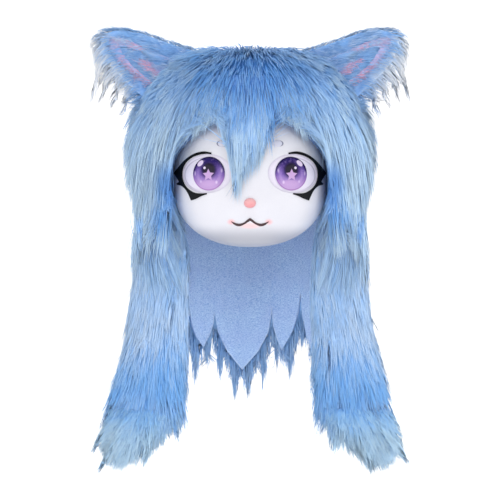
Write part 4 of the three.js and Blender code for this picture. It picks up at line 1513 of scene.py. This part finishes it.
    def mouth_outline(self) -> list[Spot]:
        """The dark line of the mouth as a closed shape, thickest under the nose."""
        share = np.linspace(0, 1, 22)
        edge, under = (
            list(zip(share, curved(line, share), strict=True))
            for line in (self.MOUTH_UPPER, self.MOUTH_LOWER)
        )
        upper = [(-s, u) for s, u in edge[::-1]] + edge[1:]
        lower = under[-2::-1] + [(-s, u) for s, u in under[1:-1]]
        return [
            (s * self.mouth_half, self.mouth_level + u * self.mouth_curl) for s, u in upper + lower
        ]

    def build(self) -> Piece:
        """Make and dress the shell, the line of the mouth and the nose.

        Returns:
            The shell.
        """
        shell = self.shell()
        self.shell_look().dress(shell)
        placed(shell, "face_shell", "face_shell")
        line = self.flat_piece("mouth_line", self.mouth_outline(), -0.0012, 0.0014, 0.004)
        mouth = Look("Mouth line", roughness=0.55)
        mouth.over(mouth.mottle().rise(0.3, 0.7), (52, 30, 34), (74, 44, 46)).dress(line)
        placed(line, "face_shell")
        nose_level = self.level - self.nose_drop
        nose = self.lens(
            "soft_nose",
            (0.0, nose_level),
            self.nose_size,
            0.0003,
            lambda out: 0.0006 + self.nose_dome * np.sqrt(np.maximum(1 - out**2, 0)),
            48,
            24,
        )
        look = Look("Nose", roughness=0.42, coat_weight=0.15)
        shade = (look.axes()[2] - nose_level) * 40.0 + look.mottle(160.0) * 0.5
        look.over(shade.rise(-0.2, 0.8), (222, 142, 146), (230, 178, 180)).dress(nose)
        placed(nose, "nose", "nose")
        return shell

    def shell_look(self) -> Look:
        """White moulded plastic, with pink at the mouth, painted bluish shade on the forehead under
        the hair, and painted shade under the chin and above the mouth.
        """
        look = Look("Moulded face", coat_weight=0.12, coat_roughness=0.25)
        x, _, z = look.axes()
        mottle = look.mottle(14.0, 900.0)
        look.over(mottle.rise(0.3, 0.7), (214, 213, 220), (220, 219, 225))
        # painted shade: bluish where the hair above shades the forehead
        high = z.rise(self.level + 0.060, self.level + 0.115)
        look.over(high * 0.8, (184, 194, 220))
        # painted shade: darker under the chin
        low = z.rise(self.level - 0.070, self.level - 0.100)
        look.over(low * 0.9, (164, 164, 172))

        def spot(across: Field, rise: float, wide: float, high: float) -> Field:
            """The distance from an oval's middle near the mouth, as a share of its half size."""
            return hypotenuse(across / wide, (z - (self.mouth_level + rise)) / high)

        lip = spot(x, -0.0065, 0.020, 0.0055).rise(1.25, 0.2)
        look.over(lip * 0.75, (246, 196, 196))
        ends = spot(x.size() - self.mouth_half, 0.0, 0.0075, 0.0055).rise(1.2, 0.1)
        look.over(ends * 0.8, (240, 170, 172))
        # painted shade in the hollow between the nose and the mouth
        shade = spot(x, 0.012, 0.020, 0.010).rise(1.4, 0.1)
        look.over(shade * 0.35, (208, 204, 210))
        return look.feed("Roughness", mottle * 0.12 + 0.34)


def eased(start: Rows, end: Rows, leaving: Rows, reaching: Rows, t: "Rows | float") -> Rows:
    """Go from one value to another along a smooth curve.

    Args:
        start: The first value.
        end: The last value.
        leaving: The slope at the first.
        reaching: The slope at the last.
        t: The share of the way, from 0 to 1.

    Returns:
        The value there.
    """
    level = start * (1 + 2 * t) * (1 - t) ** 2 + end * t * t * (3 - 2 * t)
    return level + leaving * t * (1 - t) ** 2 - reaching * t * t * (1 - t)


def curved(points: tuple[Spot, ...], share: Rows) -> Rows:
    """Run a smooth line through points that rise in their first value.

    Args:
        points: Pairs of a place and a value.
        share: The places to read it at.

    Returns:
        The value at each place.
    """
    spots, values = np.array(points).T
    slopes = np.gradient(values, spots)
    slopes[0] *= 0.8
    k = np.clip(np.searchsorted(spots, share, side="right") - 1, 0, len(spots) - 2)
    span = spots[k + 1] - spots[k]
    t = (share - spots[k]) / span
    return eased(values[k], values[k + 1], slopes[k] * span, slopes[k + 1] * span, t)


@dataclass
class Eye:
    """One set-in eye: its white, its printed iris and the lash round it."""

    face: Face
    side: Side
    recess: float = 0.003
    wall: float = 0.002
    seat: float = 0.0007
    overlap: float = 0.006
    iris_size: Spot = (0.054, 0.057)
    iris_inward: float = 0.003
    iris_dome: float = 0.0035

    LASH = (
        (-0.18, 1.05), (0.09, 1.12), (0.37, 1.08), (0.65, 0.94), (0.92, 0.70), (1.14, 0.42),
        (1.36, 0.12), (1.24, -0.10), (1.12, -0.36), (1.22, -0.44), (1.20, -0.50), (1.02, -0.58),
        (0.88, -0.73), (0.76, -0.95), (0.62, -1.34), (0.42, -1.26), (0.20, -1.13), (0.0, -1.05),
        (0.0, -0.99), (0.2, -1.0), (0.42, -0.98), (0.58, -0.90), (0.74, -0.76), (0.87, -0.57),
        (0.95, -0.36), (1.0, -0.10), (0.99, 0.18), (0.93, 0.43), (0.80, 0.66), (0.60, 0.84),
        (0.36, 0.95), (0.1, 1.0), (-0.18, 0.97),
    )
    SHARP = (0, 6, 8, 10, 14, 17, 18, 32)

    @property
    def centre(self) -> Spot:
        """The middle of the opening, in X and Z."""
        return self.side.value * self.face.eye_offset, self.face.level + self.face.eye_rise

    @property
    def iris_centre(self) -> Spot:
        """The middle of the iris, in X and Z."""
        x, z = self.centre
        return x - self.side.value * self.iris_inward, z

    def lash_outline(self) -> list[Spot]:
        """The lash's outline, rounded between its sharp points."""
        spots = np.array(self.LASH) * np.array(self.face.eye_size) / 2
        spots[:, 0] *= self.side.value
        spots += np.array(self.centre)
        count = len(spots)
        points = []
        for k in range(count):
            before, here = spots[k - 1], spots[k]
            after, beyond = spots[(k + 1) % count], spots[(k + 2) % count]
            start = (after - before) / 2 if k not in self.SHARP else after - here
            end = (beyond - here) / 2 if (k + 1) % count not in self.SHARP else after - here
            points += [eased(here, after, start, end, t) for t in (0.0, 0.25, 0.5, 0.75)]
        return [(float(x), float(z)) for x, z in points]

    def build(self) -> None:
        """Make and dress the white, the iris, the lash and the brow spot."""
        word = self.side.word
        floor = -(self.face.wall + self.seat + self.recess)
        width, height = self.face.eye_size
        white = self.face.lens(
            f"eye_cup_{word}",
            self.centre,
            (width + self.overlap, height + self.overlap),
            floor - self.wall,
            lambda out: floor + (self.recess - 0.0002) * smooth(0.90, 1.0, out),
        )
        self.white_look().dress(white)
        placed(white, "eye_white", f"eye_white_{word}")
        iris = self.face.lens(
            f"eye_disc_{word}",
            self.iris_centre,
            self.iris_size,
            floor + 0.0002,
            lambda out: floor + 0.001 + self.iris_dome * (1 - out**2),
            96,
            48,
        )
        self.iris_look().dress(iris)
        placed(iris, "iris", f"iris_{word}")
        lash = self.face.flat_piece(f"lash_line_{word}", self.lash_outline(), 0.0002, 0.0015, 0.005)
        black = Look(f"Lash {word}", roughness=0.5, specular_ior_level=0.15)
        black.over(black.mottle(60.0), (6, 6, 8), (14, 14, 17)).dress(lash)
        placed(lash, "lash", f"lash_{word}")
        self.brow_look().dress(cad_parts[f"brow_{word}"])

    def shares(self, look: Look, centre: Spot, size: Spot) -> tuple[Field, Field]:
        """How far outward and up a place is, as shares of a half size.

        Args:
            look: The look that reads them.
            centre: The middle.
            size: The width and height.

        Returns:
            The two shares.
        """
        x, _, z = look.axes()
        out = (x - centre[0]) * (self.side.value * 2 / size[0])
        return out, (z - centre[1]) * (2 / size[1])

    def white_look(self) -> Look:
        """Pale lilac enamel, with painted shade in a soft grey line along its inner step and
        towards its rim.
        """
        look = Look(f"Eye white {self.side.word}", roughness=0.3, coat_weight=0.4)
        out, up = self.shares(look, self.centre, self.face.eye_size)
        radius = hypotenuse(out, up)
        look.over(look.mottle(40.0).rise(0.3, 0.7), (220, 214, 230), (228, 222, 236))
        # painted shade: a soft grey line where the step of the opening shades the white, on its
        # outer and upper side
        line = (hypotenuse((out - 0.02) / 0.88, (up + 0.04) / 0.86) - 1.0).size().rise(0.045, 0.0)
        outer = (out + up * 0.4).rise(-0.1, 0.5)
        look.over(line * outer * 0.6, (150, 146, 168))
        # painted shade darkening the white towards the rim of the opening
        return look.over(radius.rise(0.9, 1.02) * 0.6, (196, 192, 208))

    def iris_look(self) -> Look:
        """The printed iris under clear resin: rings, a blurred pupil, a star and glints."""
        finish = {"roughness": 0.22, "coat_weight": 0.25, "coat_roughness": 0.06}
        look = Look(f"Iris {self.side.word}", specular_ior_level=0.1, **finish)
        out, up = self.shares(look, self.iris_centre, self.iris_size)
        radius = hypotenuse(out, up)

        def spot(x: float, z: float, wide: float, high: float, lean: float = 0.0) -> Field:
            """The distance from an oval's middle, as a share of its half size."""
            dx, dz = out - x, up - z
            cos, sin = math.cos(lean), math.sin(lean)
            return hypotenuse((dx * cos + dz * sin) / wide, (dz * cos - dx * sin) / high)

        look.over(up.rise(-0.95, 0.10), (190, 156, 206), (116, 88, 168))
        look.over(up.rise(-0.05, 0.80), (30, 14, 92))
        streaks = noise(stretched(look.place, (1.0, 0.2, 1.0)), 260.0, 3.0)
        look.over(streaks.rise(0.45, 0.75) * 0.3, (168, 140, 206))
        ring = (radius - 0.70).size().rise(0.16, 0.02)
        look.over(ring * up.rise(0.5, -0.4) * 0.4, (188, 158, 210))
        pupil = spot(0.0, 0.22, 0.64, 0.64)
        look.over(pupil.rise(1.05, 0.55) * 0.85, (36, 20, 82))
        look.over(pupil.rise(0.80, 0.45), (20, 10, 38))
        look.over(spot(0.0, -0.58, 0.62, 0.24).rise(1.1, 0.5) * 0.7, (190, 156, 204))
        look.over(radius.rise(0.80, 0.97) * up.rise(-0.35, 0.45), (24, 12, 66))
        edge = (radius - 0.955).size().rise(0.035, 0.0) * up.rise(0.1, -0.4)
        look.over(edge * 0.8, (146, 98, 162))
        look.over(self.star(out - 0.03, up + 0.09, 0.38), (190, 156, 204))
        shine = spot(0.53, 0.62, 0.225, 0.135, math.radians(-42)).rise(1.08, 0.9)
        look.over(shine, (216, 200, 226))
        look.over(spot(0.27, 0.34, 0.085, 0.085).rise(1.1, 0.7) * 0.9, (226, 214, 240))
        glints = spot(-0.48, -0.52, 0.07, 0.10).rise(1.4, 0.4) * 0.8
        glints = glints.most(spot(-0.80, 0.16, 0.06, 0.12).rise(1.5, 0.3) * 0.5)
        glints = glints.most(spot(0.86, 0.03, 0.05, 0.14).rise(1.5, 0.3) * 0.5)
        glints = glints.most(spot(0.50, -0.46, 0.06, 0.08).rise(1.4, 0.4) * 0.55)
        return look.over(glints * 0.8, (226, 206, 234))

    def star(self, out: Field, up: Field, size: float) -> Field:
        """A soft star with five points, one of them up.

        Args:
            out: The distance from its middle, across.
            up: The distance from its middle, upward.
            size: The distance from its middle to a point.

        Returns:
            1 inside the star and 0 outside it.
        """
        fifth, notch = 2 * math.pi / 5, 0.50
        fold = out.via("ARCTAN2", up).via("WRAP", fifth / 2, -fifth / 2).size()
        radius = hypotenuse(out, up)
        along, across = radius * fold.via("COSINE"), radius * fold.via("SINE")
        step_x = notch * math.cos(fifth / 2) - 1
        step_y = notch * math.sin(fifth / 2)
        long = math.hypot(step_x, step_y)
        edge = (along * (1 / size) - 1.0) * (step_y / long) - across * (step_x / size / long)
        return edge.rise(0.03, -0.06)

    def brow_look(self) -> Look:
        """A pale spot with a dark crescent on its outer side."""
        look = Look(f"Brow spot {self.side.word}", roughness=0.5)
        low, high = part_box(f"brow_{self.side.word}")
        centre = ((low.x + high.x) / 2, (low.z + high.z) / 2)
        out, up = self.shares(look, centre, (high.x - low.x, high.z - low.z))
        look.over(look.mottle(80.0), (198, 198, 214), (208, 208, 222))
        crescent = hypotenuse(out + 0.15, up).rise(0.82, 1.0) * out.rise(0.25, 0.8)
        return look.over(crescent * 0.85, (92, 92, 116))


@dataclass
class PaddedHood:
    """The padded cap inside the fur, with its cloth lining."""

    voxel: float = 0.006
    channel: float = 0.0018
    channels: int = 16

    def build(self) -> Piece:
        """Round the cap, sew its channels and dress it."""
        piece = copied("hood", "hood_padding")
        modified(piece, "REMESH", mode="VOXEL", voxel_size=self.voxel)
        modified(piece, "SMOOTH", factor=0.5, iterations=4)
        places, normals = corners(piece), facing(piece)
        turn = np.arctan2(places[:, 0], places[:, 1])
        stitch = np.abs(np.sin(turn * self.channels / 2))
        tuck = self.channel * np.exp(-((stitch / 0.18) ** 2)) * smooth(0.08, 0.0, places[:, 2])
        reshaped(piece, places - normals * (tuck + 0.0006)[:, None])
        softened(piece)
        look = Look("Hood lining", roughness=0.85, sheen_weight=0.2)
        knit = look.group("knit", vector=look.place, loops=900.0)
        look.over(look.mottle(20.0).rise(0.3, 0.7), (108, 142, 194), (128, 160, 208))
        look.bump(knit["Height"], 0.4, 0.0006).dress(piece)
        placed(piece, "hood_padding", "hood")
        return piece


@dataclass
class NapeCurtain:
    """The panel of fur cloth at the nape, seen from its knitted side, cut in petals."""

    flat: Spot = (0.33, 0.286)
    edge: float = 0.0016
    ripple: float = 0.0015

    FRONT = -0.35

    def build(self) -> Piece:
        """Divide the panel, inset its cut edge, ripple it and dress it."""
        piece = copied("nape_curtain", "nape_panel")
        edited(piece, select="DESELECT")
        for face in piece.data.polygons:
            face.select = face.normal.y < self.FRONT
        bpy.ops.object.mode_set(mode="EDIT")
        bpy.ops.mesh.inset(thickness=self.edge, use_boundary=True, use_even_offset=True)
        bpy.ops.object.mode_set(mode="OBJECT")
        cut = [face.normal.y < self.FRONT and not face.select for face in piece.data.polygons]
        self.look("Nape panel", (134, 172, 224), (200, 224, 252)).dress(piece)
        edge = self.look("Nape panel edge", (168, 194, 230), (196, 216, 242))
        piece.data.materials.append(edge.material)
        piece.data.polygons.foreach_set("material_index", np.array(cut, np.int32))
        modified(piece, "SUBSURF", subdivision_type="SIMPLE", levels=2, render_levels=2)
        x, y, z = corners(piece).T
        wave = np.sin(x * 55 + 0.6) * np.sin(z * 21 + x * 12)
        low = smooth(-0.25, -0.45, z)
        reshaped(piece, np.column_stack([x, y + self.ripple * wave * low, z]))
        softened(piece, 50)
        placed(piece, "fur_backing", "nape_curtain")
        return piece

    def look(self, name: str, deep: Shade, pale: Shade) -> Look:
        """Brushed knit, heathered between two colours."""
        look = Look(name, roughness=0.9, sheen_weight=0.3)
        knit = look.group("knit", vector=look.place, loops=780.0)
        look.over(knit["Fleck"], deep, pale)
        look.over(look.mottle(26.0, 700.0).rise(0.35, 0.65) * 0.22, (156, 168, 226))
        return look.bump(knit["Height"], 0.5, 0.0008)


@dataclass
class Studio:
    """The camera, the lights, the floor and the white behind."""

    distance: float = 3.0
    level: float = -0.281
    lens: float = 123.43
    floor: float = -0.72
    depth: float = 12.0
    bend: float = 0.16
    wall: float = 5.0
    glow: float = 0.66

    LIGHTS = (
        ("key", (0.0, -2.4, 1.3), 2.0, 24.0),
        ("fill_right", (-2.2, -1.6, 0.1), 1.6, 9.0),
        ("fill_left", (2.2, -1.6, 0.1), 1.6, 9.0),
        ("back", (0.0, 1.6, 1.6), 1.4, 16.0),
    )

    def build(self) -> None:
        """Set up the view and the light."""
        self.camera()
        self.backdrop()
        for name, place, size, power in self.LIGHTS:
            self.light(name, place, size, power)
        world = bpy.data.worlds.new("Studio")
        world.use_nodes = True
        shade = world.node_tree.nodes["Background"]
        shade.inputs["Color"].default_value = (0.98, 0.99, 1.0, 1.0)
        shade.inputs["Strength"].default_value = self.glow
        bpy.context.scene.world = world
        bpy.context.scene.view_settings.view_transform = "Standard"

    def camera(self) -> None:
        """Look along +Y at the middle of the head, from as far as the photograph's view."""
        data = bpy.data.cameras.new("camera")
        data.lens = self.lens
        data.sensor_width = 36.0
        data.clip_end = 50.0
        camera = added("camera", data)
        camera.location = (0.0, -self.distance, self.level)
        camera.rotation_euler = (math.pi / 2, 0.0, 0.0)
        bpy.context.scene.camera = camera

    def light(self, name: str, place: Place, size: float, power: float) -> None:
        """Hang one square soft light that points at the face.

        Args:
            name: The light's name.
            place: Where it hangs.
            size: The side of the square.
            power: Its power in watts.
        """
        data = bpy.data.lights.new(name, "AREA")
        data.shape = "SQUARE"
        data.size = size
        data.energy = power
        lamp = added(name, data)
        lamp.location = place
        aim = Vector((0.0, 0.0, self.level)) - Vector(place)
        lamp.rotation_euler = aim.to_track_quat("-Z", "Y").to_euler()

    def backdrop(self) -> None:
        """A pale floor that curves up into a wall."""
        piece = primitive(
            "backdrop",
            bpy.ops.mesh.primitive_plane_add,
            size=1,
            location=(0.0, -2.0, self.floor),
            stretch=(self.depth, self.depth, 1.0),
        )
        edited(piece, select="DESELECT")
        mesh = piece.data
        back = max(vertex.co.y for vertex in mesh.vertices)
        for vertex in mesh.vertices:
            vertex.select = vertex.co.y > back - 0.01
        for edge in mesh.edges:
            edge.select = all(mesh.vertices[k].select for k in edge.vertices)
        bpy.ops.object.mode_set(mode="EDIT")
        bpy.ops.mesh.select_mode(type="EDGE")
        for step in range(1, 9):
            turn = math.pi / 2 * step / 8
            drawn_out(0, math.cos(turn) * self.bend, math.sin(turn) * self.bend)
        drawn_out(0, 0, self.wall)
        bpy.ops.mesh.select_mode(type="VERT")
        bpy.ops.object.mode_set(mode="OBJECT")
        softened(piece)
        look = Look(
            "Backdrop",
            roughness=0.9,
            specular_ior_level=0.1,
            emission_color=(1.0, 1.0, 1.0, 1.0),
            emission_strength=0.35,
        )
        look.over(look.mottle(2.0), (246, 246, 248), (250, 250, 252)).dress(piece)


MIDDLE_TUFTS = sewn((
    (-48, -4, -40, -90, -27, -150, 150, 0.72, 7),
    (-38, -4, -35, -95, -24, -190, 190, 0.80, 7),
    (-29, -4, -29, -100, -21, -238, 210, 0.88, 7),
    (-19, -4, -21, -105, -16, -222, 210, 0.82, 7),
    (-9, -4, -11, -105, -10, -187, 190, 0.72, 7),
    (2, -4, 0, -105, -3, -178, 180, 0.85, 7),
    (12, -4, 9, -102, 5, -166, 160, 0.72, 7),
    (22, -4, 19, -98, 12, -158, 150, 0.82, 7),
    (33, -4, 28, -94, 19, -140, 130, 0.75, 7),
))
SIDE_TUFTS = sewn((
    (-50, -6, -52, -44, -55, -80, 90, 0.8, 7),
    (-54, -2, -68, -44, -80, -94, 150, 0.95, 7),
    (-62, 0, -84, -50, -99, -110, 170, 1.0, 7),
    (-74, -2, -103, -56, -122, -118, 170, 1.0, 7),
    (-88, -8, -121, -66, -142, -146, 170, 0.95, 7),
), both=True)
CHEEK_TUFTS = sewn((
    (-146, -160, -133, -222, -104, -272, 110, 0.6, 5),
    (-154, -190, -146, -250, -106, -310, 80, 0.7, 6),
    (-160, -215, -148, -280, -112, -350, 80, 0.65, 7),
    (-160, -225, -140, -300, -102, -390, 90, 0.7, 7),
    (-168, -220, -158, -310, -132, -380, 80, 0.6, 9),
    (-176, -210, -172, -310, -162, -385, 80, 0.6, 9),
    (-184, -205, -180, -305, -182, -375, 80, 0.65, 7),
    (-192, -200, -186, -290, -192, -355, 60, 0.7, 5),
), both=True)


def side_coats(side: Side) -> list[FurCoat]:
    """The coats of one ear and one tail, in the order they are made."""
    word, seed = side.word, 20 + side.value
    ear, plush, tail, tip = (f"{part}_{word}" for part in ("ear", "inner_ear", "tail", "tail_tip"))
    return [
        FurCoat(
            f"ear_pile_{word}", ear, "ear_fur", EAR_FUR, EarPile(side=side), 4600, seed + 10,
            voxel=0.004, sink=0.002, width=0.0011, lean=0.75,
        ),
        FurCoat(
            f"ear_plush_{word}", plush, "ear_plush", PLUSH, PlushPile(side=side), 900, seed + 20,
            voxel=0.003, sink=0.0001,
        ),
        FurCoat(
            f"ear_veil_{word}", plush, "ear_fur", EAR_FUR, VeilPile(side=side), 1500, seed + 25,
            voxel=0.003, sink=0.0001, skinned=False, stands=False,
        ),
        FurCoat(
            f"tail_pile_{word}", tail, "tail_fur", TAIL_FUR, TailPile(side=side), 6600, seed + 30,
            voxel=0.006,
        ),
        FurCoat(
            f"tail_tip_pile_{word}", tip, "tail_fur", TIP_FUR, TipPile(side=side), 4000, seed + 40,
            voxel=0.006, width=0.0012, lean=0.85,
        ),
    ]


def coats() -> list[FurCoat]:
    """Every coat of fur, in the order they are made."""
    behind = ("hood", "face_shell")
    return [
        FurCoat(
            "crown_fur", "head_fur", "long_fur", HEAD_FUR, HeadPile(), 13200, 11,
            voxel=0.008, inner=behind, tufts=CHEEK_TUFTS,
            lies_on=("head_fur", "tail_right", "tail_left", "nape_curtain"),
        ),
        FurCoat(
            "back_fur", "head_fur", "long_fur", HEAD_FUR, HeadPile(back=True), 6400, 12,
            voxel=0.008, inner=behind, width=0.0020, skinned=False,
        ),
        FurCoat(
            "nape_pile", "nape_fur", "long_fur", NAPE_FUR, NapePile(), 5000, 13,
            voxel=0.004, sink=0.001, smoothing=1, width=0.0017, pull=0.15, lean=0.1,
            inner=("nape_curtain",), inner_room=0.0035,
        ),
        *side_coats(Side.RIGHT),
        *side_coats(Side.LEFT),
        FurCoat(
            "fringe_fur", "fringe", "long_fur", HEAD_FUR, FringePile(), 2600, 14,
            voxel=0.004, sink=0.002, smoothing=2, inner=("face_shell",), inner_room=0.004,
            tufts=MIDDLE_TUFTS + SIDE_TUFTS, lies_on=("face_shell", "head_fur"),
        ),
    ]


def main() -> None:
    """Build the head piece by piece, then the studio round it."""
    logging.basicConfig(level=logging.INFO, format="%(message)s")
    Studio().build()
    face = Face()
    face.build()
    for side in Side:
        Eye(face, side).build()
    PaddedHood().build()
    NapeCurtain().build()
    for coat in coats():
        coat.build()


if __name__ == "__main__":
    main()
